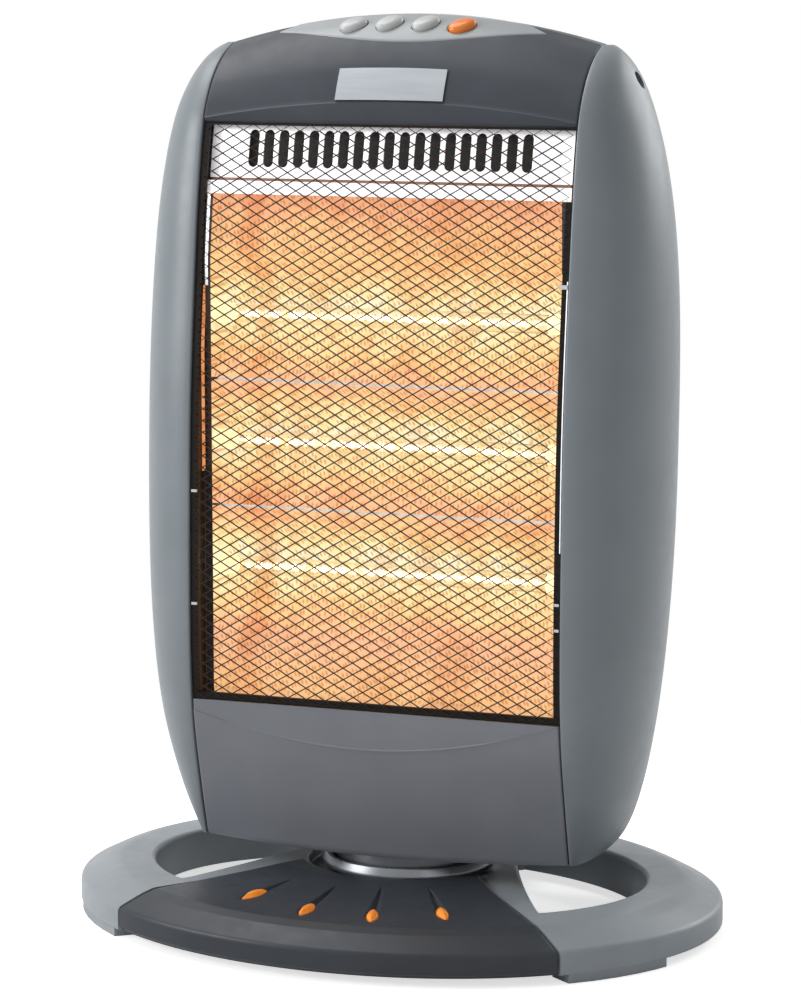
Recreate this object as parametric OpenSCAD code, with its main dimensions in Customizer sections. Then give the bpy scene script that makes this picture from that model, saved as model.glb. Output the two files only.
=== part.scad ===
// Swinging halogen heater: a bulging body with three quartz tubes behind a
// diamond mesh, turning on an oval foot. X runs to the right, Y to the back,
// Z up. The origin is the middle of the foot on the floor.

/* [Foot] */
// Width of the foot ring
foot_w = 400; // [360:1:460]
// Depth of the foot ring
foot_d = 305; // [280:1:340]
// Height of the flat top of the foot ring
foot_top = 29.6; // [27:0.2:34]
// Width of the band of the foot ring at its sides
band_w = 46; // [40:1:52]
// Height of the foot pads under the foot
pad_h = 5.2; // [4:0.2:7]
// Wall thickness of the moulded foot
foot_wall = 2.6; // [2:0.1:3.4]
// Half width of the bridge at its waist
bridge_waist = 70; // [68:1:76]
// Radius of the side curve of the bridge
bridge_curve = 135; // [120:1:160]
// Radius of the round dish in the middle of the bridge
dish_r = 62; // [58:1:64]
// Height that the dark front wedge rises towards the hub
wedge_rise = 2.8; // [2:0.2:3.6]

/* [Body] */
// Width of the middle section between the two side casings
core_w = 232; // [212:1:260]
// Height of the body from its bottom edge to the shoulder of the casings
body_h = 480; // [420:1:560]
// Height of the bottom of the body above the floor
body_z = 45; // [44:0.5:50]
// Depth of the body in front of the pivot axis
front_reach = 70; // [62:1:80]
// Depth of the body behind the pivot axis
rear_reach = 71.5; // [64:0.5:80]
// How far each side casing bulges out from the middle section
casing_bulge = 47.4; // [40:0.2:56]
// Rise of the middle of the top over the shoulders, as a share of its height
crown = 0.37; // [0.2:0.01:0.45]
// Wall thickness of the moulded shells
wall = 2.5; // [2:0.1:3.2]
// Gap at the seams between neighbouring shells
seam = 0.3; // [0.2:0.05:0.5]
// Distance of the pivot axis behind the middle of the foot
hub_y = 22; // [16:1:28]

/* [Grille and reflector] */
// Number of mesh diamonds across
mesh_nx = 6; // [4:1:7]
// Number of mesh diamonds up
mesh_nz = 14; // [10:1:17]
// Width of a mesh strand
strand = 1.4; // [1:0.1:2]
// Width of the border of the grille frame
frame_w = 4; // [3.5:0.5:8]
// Height of the lower cover
lower_cover_h = 89; // [80:1:100]
// Height of the top cover below the shoulder of the casings
top_cover_h = 46; // [42:1:52]
// Distance between neighbouring quartz tubes
tube_pitch = 76.5; // [70:0.5:78]
// Height of the lowest quartz tube above the bottom of the body
tube_z = 167; // [160:1:172]
// Outer radius of a quartz tube
tube_r = 5.5; // [4.5:0.1:6.5]
// Length of the glass of a quartz tube
tube_l = 196; // [180:1:200]
// Depth of each reflector trough
trough_d = 30; // [24:1:32]
// Number of upright slots in the upper reflector
slot_n = 19; // [9:2:21]
// Distance between neighbouring upright slots
slot_pitch = 9.45; // [8:0.05:10]
// Turns of each filament
coil_turns = 14; // [8:1:16]

/* [Controls] */
// Length of an oval push button
button_l = 17; // [14:0.5:19]
// Width of an oval push button
button_w = 12; // [9:0.5:13]
// Distance between neighbouring push buttons
button_pitch = 22.7; // [21:0.1:25]
// Travel of a push button
button_travel = 3; // [2:0.5:4]
// Gap around a push button
button_gap = 0.4; // [0.3:0.05:0.6]
// Backward lean of the push buttons from upright, in degrees
button_lean = 30; // [26:1:34]
// Turn of each oval button in its seat, in degrees
button_turn = 35; // [0:5:45]

/* [Pivot and swing drive] */
// Outer radius of the hollow pivot tube
pivot_r = 12; // [10:0.5:14]
// Running clearance of the pivot in its bore
pivot_fit = 0.05; // [0.03:0.01:0.08]
// Outer radius of the turning collar
collar_r = 53; // [48:1:55]
// Largest swing to each side, in degrees
swing_limit = 35; // [25:1:40]

/* [Hidden] */
$fn = 64;

light_grey = [0.62, 0.65, 0.68];
casing_grey = [0.47, 0.50, 0.53];
cover_grey = [0.40, 0.42, 0.44];
dark_grey = [0.24, 0.25, 0.27];
orange = [0.93, 0.48, 0.08];
black = [0.08, 0.08, 0.09];
bright_metal = [0.80, 0.80, 0.82];
steel = [0.58, 0.60, 0.62];
ceramic = [0.92, 0.90, 0.84];

// ---- foot sizes ----
foot_a = foot_w / 2;
foot_b = foot_d / 2;
hole_a = foot_a - band_w;
hole_b = foot_b - band_w - 2.5;
skirt_top = foot_top - 10.5;
chamfer_in = 16;
crest_in = 24;
shoulder_z = foot_top - 2.6;
dish_wall = 4;
dish_floor = 22;
hub_plate_t = 6;
hub_r = pivot_r + 8;
nut_room = 4;
plate_z = pad_h + 0.2;
plate_t = 2;
hole_centre_x = bridge_waist + bridge_curve;

// ---- body sizes ----
core_x = core_w / 2;
body_top = body_z + body_h;
belly_z = body_z + 0.51 * body_h;
cut_z = body_top - top_cover_h;
cut_u = 1 - top_cover_h / body_h;
lower_top = body_z + lower_cover_h;
shell_x = core_x - seam;
grille_inset = 2;
grille_t = 2.5;
mesh_t = 0.7;
mesh_inset = 1;
belly = 10;
sag = 2.5;

// Depth of the front and rear edge of a side casing, as shares of the reach, from
// the bottom (0) to the shoulder (1)
front_line = [[0, 0.66], [0.07, 0.80], [0.16, 0.95], [0.25, 1], [0.41, 0.99], [0.57, 0.94],
    [0.74, 0.81], [0.82, 0.73], [0.91, 0.59], [0.95, 0.43], [0.975, 0.25], [0.99, 0.08], [1, -0.1]];
rear_line = [[0, 0.78], [0.08, 0.75], [0.26, 0.84], [0.45, 0.96], [0.62, 1], [0.76, 0.95],
    [0.85, 0.85], [0.91, 0.74], [0.95, 0.63], [0.975, 0.50], [0.99, 0.38], [1, 0.28]];

// Smooth curve through points of [place, value]
function span(p, u, i = 0) = (i >= len(p) - 2 || u < p[i + 1][0]) ? i : span(p, u, i + 1);
function slope(p, i) =
    let (a = max(i - 1, 0), b = min(i + 1, len(p) - 1))
    (p[b][1] - p[a][1]) / (p[b][0] - p[a][0]);
function smooth(p, u) =
    let (i = span(p, u), h = p[i + 1][0] - p[i][0], t = (u - p[i][0]) / h)
    (2 * pow(t, 3) - 3 * t * t + 1) * p[i][1]
    + (pow(t, 3) - 2 * t * t + t) * h * slope(p, i)
    + (3 * t * t - 2 * pow(t, 3)) * p[i + 1][1]
    + (pow(t, 3) - t * t) * h * slope(p, i + 1);

function up(z) = (z - body_z) / body_h;
function front_y(z) = hub_y - front_reach * smooth(front_line, up(z));
function rear_y(z) = hub_y + rear_reach * smooth(rear_line, up(z));

// Half width of the body at height z: rounder below the belly than above it
function bulge_share(z) =
    z > belly_z
    ? sqrt(1 - pow((z - belly_z) / (body_top - belly_z + 1), 3))
    : sqrt(1 - pow((belly_z - z) / (belly_z - body_z + 5), 2.5));

// ---- closed sheet between an outer and an inner grid of points ----
function flat_list(rows) = [for (r = rows) for (p = r) p];
module thick_sheet(outer, inner) {
    nr = len(outer);
    nc = len(outer[0]);
    n = nr * nc;
    skin_faces = [for (i = [0 : nr - 2], j = [0 : nc - 2])
        let (a = i * nc + j, b = a + 1, c = a + nc, d = c + 1)
        each [[a, d, b], [a, c, d], [n + a, n + b, n + d], [n + a, n + d, n + c]]];
    end_faces = [for (j = [0 : nc - 2])
        let (a = j, b = j + 1, c = (nr - 1) * nc + j, d = c + 1)
        each [[a, n + b, n + a], [a, b, n + b], [c, n + d, d], [c, n + c, n + d]]];
    side_faces = [for (i = [0 : nr - 2])
        let (a = i * nc, b = a + nc, c = a + nc - 1, d = c + nc)
        each [[a, n + b, b], [a, n + a, n + b], [c, d, n + d], [c, n + d, n + c]]];
    polyhedron(concat(flat_list(outer), flat_list(inner)),
        concat(skin_faces, end_faces, side_faces), convexity = 8);
}

// ---- foot ----
// Solid through a pile of ovals, each given as [z, half width, half depth]
module oval_stack(ovals, n) {
    points = [for (o = ovals, k = [0 : n - 1]) [o[1] * cos(360 * k / n), o[2] * sin(360 * k / n), o[0]]];
    last = (len(ovals) - 1) * n;
    sides = [for (i = [0 : len(ovals) - 2], k = [0 : n - 1])
        let (a = i * n + k, b = i * n + (k + 1) % n)
        each [[a, b + n, b], [a, a + n, b + n]]];
    ends = [[for (k = [0 : n - 1]) k], [for (k = [n - 1 : -1 : 0]) last + k]];
    polyhedron(points, concat(sides, ends), convexity = 4);
}

foot_sides = 72;
module oval(a, b, z0, z1)
    oval_stack([[z0, a, b], [z1, a, b]], foot_sides);

// Outer form of the foot, drawn in by t on all sides; its middle rises by rise
module foot_form(t = 0, z0 = pad_h, rise = 0) {
    a = foot_a - t;
    b = foot_b - t;
    top = foot_top - t;
    oval_stack([[z0, a, b], [skirt_top - t / 2, a, b], [shoulder_z - t, a - chamfer_in, b - 0.8 * chamfer_in],
        [top, a - crest_in, b - 0.8 * crest_in],
        if (rise > 0) [top + rise, 80, 50]], foot_sides);
}

module side_hole(side, t = 0) {
    intersection() {
        oval(hole_a + t, hole_b + t, -1, foot_top + 20);
        translate([side * hole_centre_x, hub_y, -1])
            cylinder(h = foot_top + 21, r = bridge_curve + t, $fn = 96);
    }
}

// Plan outline of the dark front wedge, grown by t
module wedge_plan(t = 0) {
    rim_x = 0.679 * foot_a;
    rim_y = -0.7355 * foot_b;
    shoulder_x = 0.595 * foot_a;
    shoulder_y = -0.66 * foot_b;
    tip_x = 51;
    tip_y = hub_y - 31;
    linear_extrude(height = 60)
        polygon([[-rim_x - t - 20, -foot_b - 20], [-rim_x - t, rim_y + t], [-shoulder_x - t, shoulder_y + t],
            [-78 - t, -49 + t], [-tip_x - t, tip_y + t], [0, hub_y],
            [tip_x + t, tip_y + t], [78 + t, -49 + t], [shoulder_x + t, shoulder_y + t],
            [rim_x + t, rim_y + t], [rim_x + t + 20, -foot_b - 20]]);
}

module base_ring() color(light_grey) difference() {
    foot_form();
    difference() {
        foot_form(foot_wall, 0);
        side_hole(-1, foot_wall);
        side_hole(1, foot_wall);
        translate([0, hub_y, -1])
            cylinder(h = 60, r = dish_r + dish_wall);
    }
    side_hole(-1);
    side_hole(1);
    translate([0, hub_y, dish_floor])
        cylinder(h = 20, r = dish_r);
    translate([0, hub_y, -1])
        difference() {
            cylinder(h = dish_floor - hub_plate_t + 1, r = dish_r);
            cylinder(h = dish_floor, r = hub_r);
        }
    translate([0, hub_y, -1])
        cylinder(h = dish_floor - hub_plate_t + 1, r = pivot_r + nut_room);
    translate([0, hub_y, -1])
        cylinder(h = 60, r = pivot_r + pivot_fit);
    difference() {
        wedge_plan(seam);
        translate([0, hub_y, 0])
            cylinder(h = 60, r = dish_r + dish_wall);
    }
    translate([0, post_y, -1])
        cylinder(h = 60, r = 1.6);
}

module base_plate() color(dark_grey) difference() {
    oval(foot_a - foot_wall - seam, foot_b - foot_wall - seam, plate_z, plate_z + plate_t);
    side_hole(-1, foot_wall + seam);
    side_hole(1, foot_wall + seam);
    translate([0, hub_y, -1])
        cylinder(h = 20, r = dish_r + dish_wall + seam);
    translate([0, tip_y, -1])
        cylinder(h = 20, r = plunger_r + 0.6);
    for (p = base_screw_places)
        translate([p[0], p[1], -1])
            cylinder(h = 20, r = screw_r + 0.3);
}

module wedge_cover() color(dark_grey) difference() {
    intersection() {
        foot_form(rise = wedge_rise);
        wedge_plan();
    }
    intersection() {
        foot_form(foot_wall, 0, wedge_rise);
        wedge_plan(-foot_wall);
    }
    translate([0, hub_y, -1])
        cylinder(h = 60, r = dish_r + dish_wall + seam);
    difference() {
        cylinder(h = plate_z + plate_t + seam, r = foot_a);
        difference() {
            oval(foot_a + 1, foot_b + 1, 0, 30);
            oval(foot_a - foot_wall, foot_b - foot_wall, -1, 31);
        }
    }
    for (k = leaf_steps)
        leaf_at(k, 0.3, 9);
}

// Orange leaves, set in a fan around the hub
leaf_steps = [-1.5, -0.5, 0.5, 1.5];
leaf_l = 17;
leaf_w = 6;
leaf_h = 5.8;
leaf_x = [58.9, 20.5];
leaf_y = [-88.3, -101.2];
module leaf_at(k, t, h) {
    i = abs(k) > 1 ? 0 : 1;
    x = sign(k) * leaf_x[i];
    y = leaf_y[i];
    half = leaf_l / 2 + t;
    bow = (half * half - pow(leaf_w / 2 + t, 2)) / (leaf_w + 2 * t);
    r = bow + leaf_w / 2 + t;
    translate([x, y, foot_top - foot_wall - 1])
        rotate([0, 0, atan2(y - hub_y, x)])
            intersection() {
                translate([0, -bow, 0])
                    cylinder(h = h, r = r);
                translate([0, bow, 0])
                    cylinder(h = h, r = r);
            }
}

module leaf_inserts() color(orange)
    for (k = leaf_steps)
        leaf_at(k, 0, leaf_h);

pad_span = [[22, 45], [135, 158], [202, 225], [315, 338]];
module foot_pads() color(light_grey)
    for (s = pad_span)
        intersection() {
            difference() {
                oval(foot_a - 0.5, foot_b - 0.5, 0, pad_h);
                oval(foot_a - 16, foot_b - 16, -1, pad_h + 1);
            }
            linear_extrude(height = 20)
                polygon([[0, 0], for (i = [0 : 4])
                    let (a = s[0] + (s[1] - s[0]) * i / 4)
                    [1.4 * foot_a * cos(a), 1.4 * foot_b * sin(a)]]);
        }

washer_t = 2;
module thrust_washer() color(ceramic)
    translate([0, hub_y, dish_floor + 0.1])
        difference() {
            cylinder(h = washer_t, r = pivot_r + 8);
            translate([0, 0, -1])
                cylinder(h = washer_t + 2, r = pivot_r + 0.4);
        }

// Slotted arm: its post stands in the hub dish and reaches up through the body floor
yoke_z = body_z + 8;
yoke_t = 3;
drive_room = front_line[0][1] * front_reach - 2.2;
crank_reach = drive_room / (1 + tan(swing_limit));
crank_throw = crank_reach * tan(swing_limit);
post_r = 3;
post_reach = pivot_r + 13;
post_y = hub_y - post_reach;
pin_r = 2;
pin_play = 0.8;
slot_near = norm([crank_reach, crank_throw]) - pin_r - 1;
slot_far = drive_room + pin_r + 1;
yoke_half = 5.5;
module yoke_arm() color(steel) {
    translate([0, post_y, dish_floor + 0.1])
        cylinder(h = yoke_z + yoke_t - dish_floor - 0.1, r = post_r);
    translate([0, hub_y, yoke_z])
        difference() {
            translate([-yoke_half, -slot_far - 3, 0])
                cube([2 * yoke_half, slot_far + 3 - post_reach + post_r + 1, yoke_t]);
            translate([-pin_r - pin_play, -slot_far, -1])
                cube([2 * (pin_r + pin_play), slot_far - slot_near, yoke_t + 2]);
        }
}

// Tip-over switch: the floor holds its plunger up, and its spring pushes it out when lifted
tip_y = hole_b + 14.5;
plunger_r = 4;
plunger_l = 18;
tip_travel = 5;
tip_box_z = plunger_l - tip_travel - 2.2;
tip_box_top = foot_top - foot_wall - 0.1;
module tip_switch() color(black) difference() {
    translate([-12, tip_y - 9, tip_box_z])
        cube([24, 18, tip_box_top - tip_box_z]);
    translate([0, tip_y, tip_box_z - 1])
        cylinder(h = 4, r = plunger_r + 0.5);
    translate([0, tip_y, tip_box_z + 1])
        cylinder(h = tip_box_top - tip_box_z - 2, r = plunger_r + 2.5);
}

module tip_plunger() color(orange) {
    translate([0, tip_y, 0])
        cylinder(h = plunger_l, r = plunger_r);
    translate([0, tip_y, plunger_l - 1])
        cylinder(h = 1, r = plunger_r + 2);
}

module tip_spring() color(steel)
    translate([0, tip_y, plunger_l + 0.2])
        difference() {
            cylinder(h = tip_box_top - 1.4 - plunger_l, r = plunger_r + 1);
            translate([0, 0, -1])
                cylinder(h = 30, r = plunger_r);
        }

// The screws sit in the middle of the band of the ring, at these places round it in degrees
screw_r = 2;
base_screw_places = [for (a = [-148, -32, 57.5, 122.5])
    [(foot_a - band_w / 2) * cos(a), (foot_b - band_w / 2) * sin(a)]];
module base_screws() color(steel)
    for (p = base_screw_places)
        translate([p[0], p[1], plate_z - 1.4]) {
            cylinder(h = 1.4, r = 3.6);
            cylinder(h = 8, r = screw_r);
        }

// ---- pivot ----
collar_z = dish_floor + washer_t + 0.3;
neck_r = front_line[0][1] * front_reach + belly - wall - 6.7;
module turntable_collar() color(casing_grey)
    translate([0, hub_y, 0])
        difference() {
            union() {
                translate([0, 0, collar_z])
                    cylinder(h = 4, r1 = collar_r - 8, r2 = collar_r - 1);
                translate([0, 0, collar_z + 4])
                    cylinder(h = 7, r1 = collar_r - 1, r2 = collar_r);
                translate([0, 0, collar_z + 11])
                    cylinder(h = body_z - 0.3 - collar_z - 11, r = neck_r);
            }
            translate([0, 0, collar_z + wall])
                cylinder(h = 40, r = neck_r - 4);
            cylinder(h = 60, r = pivot_r + 0.3);
            swing_slot();
        }

// Arc slot round the pivot axis that the fixed post passes through
slot_half = swing_limit + 10;
module swing_slot()
    difference() {
        intersection() {
            cylinder(h = 120, r = post_reach + post_r + 1);
            linear_extrude(height = 120)
                polygon([[0, 0], for (i = [0 : 6])
                    let (a = 270 - slot_half + 2 * slot_half * i / 6)
                    [90 * cos(a), 90 * sin(a)]]);
        }
        translate([0, 0, -1])
            cylinder(h = 122, r = post_reach - post_r - 1);
    }

floor_t = 3;
module pivot_tube() color(steel)
    translate([0, hub_y, 0])
        difference() {
            union() {
                translate([0, 0, 8])
                    cylinder(h = body_z + floor_t - 8, r = pivot_r);
                translate([0, 0, body_z + floor_t])
                    cylinder(h = 2.5, r = pivot_r + 7);
            }
            translate([0, 0, -1])
                cylinder(h = 80, r = pivot_r - 3);
        }

module pivot_nut() color(bright_metal)
    translate([0, hub_y, dish_floor - hub_plate_t - 5.2])
        difference() {
            cylinder(h = 5, r = pivot_r + nut_room - 0.4, $fn = 6);
            translate([0, 0, -1])
                cylinder(h = 8, r = pivot_r + 0.05);
        }

module floor_plate() color(black)
    difference() {
        translate([-shell_x, front_y(body_z) + wall + 0.5, body_z])
            cube([2 * shell_x, rear_y(body_z) - front_y(body_z) - 2 * wall - 1, floor_t]);
        translate([0, hub_y, body_z - 1])
            cylinder(h = 10, r = pivot_r + 0.1);
        translate([0, hub_y, 0])
            swing_slot();
    }

// ---- side casings ----
casing_rows = 22;
casing_cols = 12;
function casing_arc(z, y0, y1, bulge) =
    [for (j = [0 : casing_cols])
        let (a = 180 * j / casing_cols)
        [core_x + bulge * sin(a), (y0 + y1) / 2 - (y1 - y0) / 2 * cos(a), z]];
// Nearly straight edge where the end of the casing meets the middle section
function casing_edge(z, y0, y1) =
    [for (j = [0 : casing_cols])
        [core_x + 0.4 * sin(180 * j / casing_cols), y0 + (y1 - y0) * (0.05 + 0.9 * j / casing_cols), z]];
function casing_grid(t) =
    let (z0 = body_z + t, z1 = body_top - t)
    [casing_edge(z0, front_y(body_z) + t, rear_y(body_z) - t),
     for (i = [0 : casing_rows])
        let (v = (1 - cos(180 * i / casing_rows)) / 2, z = z0 + (z1 - z0) * v,
            zo = body_z + body_h * v)
        casing_arc(z, front_y(zo) + t, rear_y(zo) - t, casing_bulge * bulge_share(zo) - t),
     casing_edge(z1, front_y(body_top) + t, rear_y(body_top) - t)];

// The round hole near the shoulder takes the screw that draws the casing to the body
casing_hole_r = 5;
casing_hole_y = hub_y + 7;
casing_hole_z = body_top - 20;
module casing_shell()
    difference() {
        thick_sheet(casing_grid(0), casing_grid(wall));
        translate([core_x + wall + 4, casing_hole_y, casing_hole_z])
            rotate([0, 90, 0])
                cylinder(h = casing_bulge, r = casing_hole_r);
    }

module right_casing() color(casing_grey)
    casing_shell();

module left_casing() color(casing_grey)
    mirror([1, 0, 0])
        casing_shell();

// ---- top ----
crown_rows = 9;
crown_mid_y = (front_y(body_top) + rear_y(body_top)) / 2 - 8;
// Profile of the top at the seam, from the front edge (s = 0) over to the rear edge (s = 2)
function top_u(s) = cut_u + (1 - cut_u) * (s <= 1 ? sin(90 * s) : sin(90 * (2 - s)));
function top_point(s) =
    let (z = body_z + body_h * top_u(s))
    [s <= 1 ? front_y(z) : rear_y(z), z];
// Point of the crowned top; out moves it outwards from the middle of the cover
function crown_point(x, s, out) =
    let (p = top_point(s), f = 1 + out / top_cover_h,
        c = 1 + crown * (1 - pow(x / core_x, 2)))
    [x, crown_mid_y + (p[0] - crown_mid_y) * f, cut_z + (p[1] - cut_z) * f * c];
function crown_grid(s0, s1, x0, x1, rows, cols, out) =
    [for (i = [0 : rows])
        [for (j = [0 : cols])
            crown_point(x0 + (x1 - x0) * j / cols, s0 + (s1 - s0) * i / rows, out)]];
module crown_sheet(s0, s1, half_x, rows, cols, out, t)
    thick_sheet(crown_grid(s0, s1, -half_x, half_x, rows, cols, out),
        crown_grid(s0, s1, -half_x, half_x, rows, cols, out - t));

// Lens-shaped plan of the control panel
panel_half = 84;
panel_front = 18.4;
panel_rear = 20;
panel_mid_y = hub_y + 2;
module panel_plan(t) {
    r1 = (panel_half * panel_half + panel_front * panel_front) / (2 * panel_front);
    r2 = (panel_half * panel_half + panel_rear * panel_rear) / (2 * panel_rear);
    translate([0, 0, cut_z])
        intersection() {
            translate([0, panel_mid_y - panel_front + r1, 0])
                cylinder(h = 100, r = r1 + t, $fn = 128);
            translate([0, panel_mid_y + panel_rear - r2, 0])
                cylinder(h = 100, r = r2 + t, $fn = 128);
        }
}

module top_cover() color(dark_grey)
    difference() {
        crown_sheet(0, 2, shell_x, 2 * crown_rows, 12, 0, wall);
        panel_plan(seam);
    }

// Buttons sit at even steps along the panel, square to its surface
button_steps = [-1.5, -0.5, 0.5, 1.5];
button_s = 0.728;
function button_seat(k) = crown_point(k * button_pitch, button_s, 0);
module at_button(k)
    translate(button_seat(k))
        rotate([button_lean, 0, 0])
            rotate([0, 0, button_turn])
                children();

button_sides = 32;
module button_oval(z0, z1, t)
    oval_stack([[z0, button_l / 2 + t, button_w / 2 + t], [z1, button_l / 2 + t, button_w / 2 + t]],
        button_sides);

module control_panel() color(light_grey)
    difference() {
        intersection() {
            crown_sheet(0.38, 1.6, panel_half, 11, 12, 0.6, wall + 0.6);
            panel_plan(0);
        }
        for (k = button_steps)
            at_button(k)
                button_oval(-20, 20, button_gap);
    }

cap_drop = 7;
stem_w = 5;
stem_l = 9;
module push_button(k)
    at_button(k) {
        oval_stack([for (o = [[-cap_drop, 1], [1.4, 1], [2.3, 0.92], [2.9, 0.75], [3.3, 0.45]])
            [o[0], o[1] * button_l / 2, o[1] * button_w / 2]], button_sides);
        translate([-stem_w / 2, -stem_w / 2, -cap_drop - stem_l])
            cube([stem_w, stem_w, stem_l + 0.5]);
    }

module button_low() color(light_grey)
    push_button(button_steps[0]);
module button_medium() color(light_grey)
    push_button(button_steps[1]);
module button_high() color(light_grey)
    push_button(button_steps[2]);
module button_swing() color(orange)
    push_button(button_steps[3]);

// Switch block on two posts that hang from the panel
crown_drop = button_seat(0.5)[2] - button_seat(1.5)[2];
block_top = -cap_drop - button_travel - 1 - crown_drop;
block_h = 16;
post_drop = 5.6;
module switch_block() color(black)
    difference() {
        translate(button_seat(0.5))
            rotate([button_lean, 0, 0]) {
                translate([-0.5 * button_pitch - 48, -8, block_top - block_h])
                    cube([96, 16, block_h]);
                for (side = [-1, 1])
                    translate([-0.5 * button_pitch + side * 46, 0, block_top - 1])
                        cylinder(h = -block_top - post_drop, r = 2.5);
            }
        for (k = button_steps)
            at_button(k)
                translate([-stem_w / 2 - 0.4, -stem_w / 2 - 0.4, -cap_drop - stem_l - button_travel - 1])
                    cube([stem_w + 0.8, stem_w + 0.8, 30]);
    }

// Plain silver plate on the front of the top cover
plate_half = 34.5;
module badge_plate() color(bright_metal)
    crown_sheet(0.142, 0.339, plate_half, 3, 6, 1.2, 0.9);

// ---- front and rear covers ----
function lower_grid(t) =
    [for (i = [0 : 9])
        [for (j = [0 : 12])
            let (x = shell_x * (2 * j / 12 - 1), v = i / 9, arch = 1 - pow(x / core_x, 2),
                z = body_z + (lower_cover_h - seam) * v)
            [x, front_y(z) + t - belly * arch * (1 - v) * (1 - v) - 0.6 * belly * arch * (1 - v) * v,
             z - sag * arch * (1 - v)]]];
module lower_cover() color(cover_grey)
    thick_sheet(lower_grid(0), lower_grid(wall));

// Band that follows the front line, from z0 to z1, between depths in0 and in1 behind it
module front_band(z0, z1, in0, in1, half_x, steps = 12)
    rotate([90, 0, 90])
        translate([0, 0, -half_x])
            linear_extrude(height = 2 * half_x)
                polygon([for (i = [0 : steps])
                        let (z = z0 + (z1 - z0) * i / steps)
                        [front_y(z) + in0, z],
                    for (i = [steps : -1 : 0])
                        let (z = z0 + (z1 - z0) * i / steps)
                        [front_y(z) + in1, z]]);

vent_l = 70;
vent_w = 4;
vent_pitch = 11;
bush_x = 70;
bush_z = body_z + 34;
bush_r = 9;
rear_screw_places = [[-100, 20], [100, 20], [-100, 400], [100, 400]];
module rear_cover() color(casing_grey)
    difference() {
        rotate([90, 0, 90])
            translate([0, 0, -shell_x])
                linear_extrude(height = 2 * shell_x)
                    polygon([for (i = [0 : 16])
                            let (z = body_z + (cut_z - seam - body_z) * i / 16)
                            [rear_y(z), z],
                        for (i = [16 : -1 : 0])
                            let (z = body_z + (cut_z - seam - body_z) * i / 16)
                            [rear_y(z) - wall, z]]);
        for (side = [-1, 1])
            for (i = [0 : 7])
                translate([side * 44 - vent_l / 2, 0, cut_z - 40 - i * vent_pitch])
                    cube([vent_l, 200, vent_w]);
        for (side = [-1, 1])
            for (i = [0 : 4])
                translate([side * 44 - vent_l / 2, 0, body_z + 76 + i * vent_pitch])
                    cube([vent_l, 200, vent_w]);
        translate([bush_x, 0, bush_z])
            rotate([-90, 0, 0])
                cylinder(h = 200, r = bush_r + 0.1);
        for (p = rear_screw_places)
            translate([p[0], 0, body_z + p[1]])
                rotate([-90, 0, 0])
                    cylinder(h = 200, r = screw_r + 0.3);
    }

module rear_screws() color(steel)
    for (p = rear_screw_places)
        let (y = rear_y(body_z + p[1]))
        translate([p[0], y + 0.6, body_z + p[1]])
            rotate([90, 0, 0]) {
                cylinder(h = 11, r = screw_r);
                translate([0, 0, -1.6])
                    cylinder(h = 1.6, r = 3.6);
            }

cord_r = 3.6;
module cord_bush() color(black)
    let (y = rear_y(bush_z))
    translate([bush_x, y - wall, bush_z])
        rotate([-90, 0, 0])
            difference() {
                union() {
                    translate([0, 0, -3])
                        cylinder(h = 12, r = bush_r);
                    translate([0, 0, wall + 2])
                        cylinder(h = 2.5, r = bush_r + 2.5);
                    translate([0, 0, -4.5])
                        cylinder(h = 2.5, r = bush_r + 2);
                }
                translate([0, 0, -10])
                    cylinder(h = 40, r = cord_r);
            }

// ---- grille ----
grille_z0 = lower_top + seam;
grille_z1 = cut_z - seam;
module grille_frame() color(black)
    difference() {
        front_band(grille_z0, grille_z1, grille_inset, grille_inset + grille_t, shell_x - 0.2);
        translate([-shell_x + frame_w, -200, grille_z0 + frame_w])
            cube([2 * (shell_x - frame_w), 400, grille_z1 - grille_z0 - 2 * frame_w]);
    }

// Diamond mesh: points lie on a lattice of half steps, and each cell has one gap
mesh_x = shell_x - 3;
mesh_z0 = grille_z0 + 2;
mesh_z1 = grille_z1 - 2;
half_w = mesh_x / mesh_nx;
half_h = (mesh_z1 - mesh_z0) / (2 * mesh_nz);
function net_point(i, j, deep) =
    let (z = mesh_z0 + half_h * j)
    [-mesh_x + half_w * i, front_y(z) + mesh_inset + (deep ? mesh_t : 0), z];
net_cells = [for (i = [0 : 2 * mesh_nx], j = [0 : 2 * mesh_nz])
    if ((i + j) % 2 == 1 && !((i == 0 || i == 2 * mesh_nx) && (j == 0 || j == 2 * mesh_nz)))
        [for (p = [[i - 1, j], [i, j - 1], [i + 1, j], [i, j + 1]])
            if (p[0] >= 0 && p[0] <= 2 * mesh_nx && p[1] >= 0 && p[1] <= 2 * mesh_nz) p]];
function perimeter(c) =
    let (n = len(c), d = [for (k = [0 : n - 1]) norm(net_flat(c[k]) - net_flat(c[(k + 1) % n]))])
    d * [for (k = [0 : n - 1]) 1];
function net_flat(p) = [half_w * p[0], half_h * p[1]];
function cell_area(c) = len(c) == 4 ? 2 * half_w * half_h : half_w * half_h;
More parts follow.
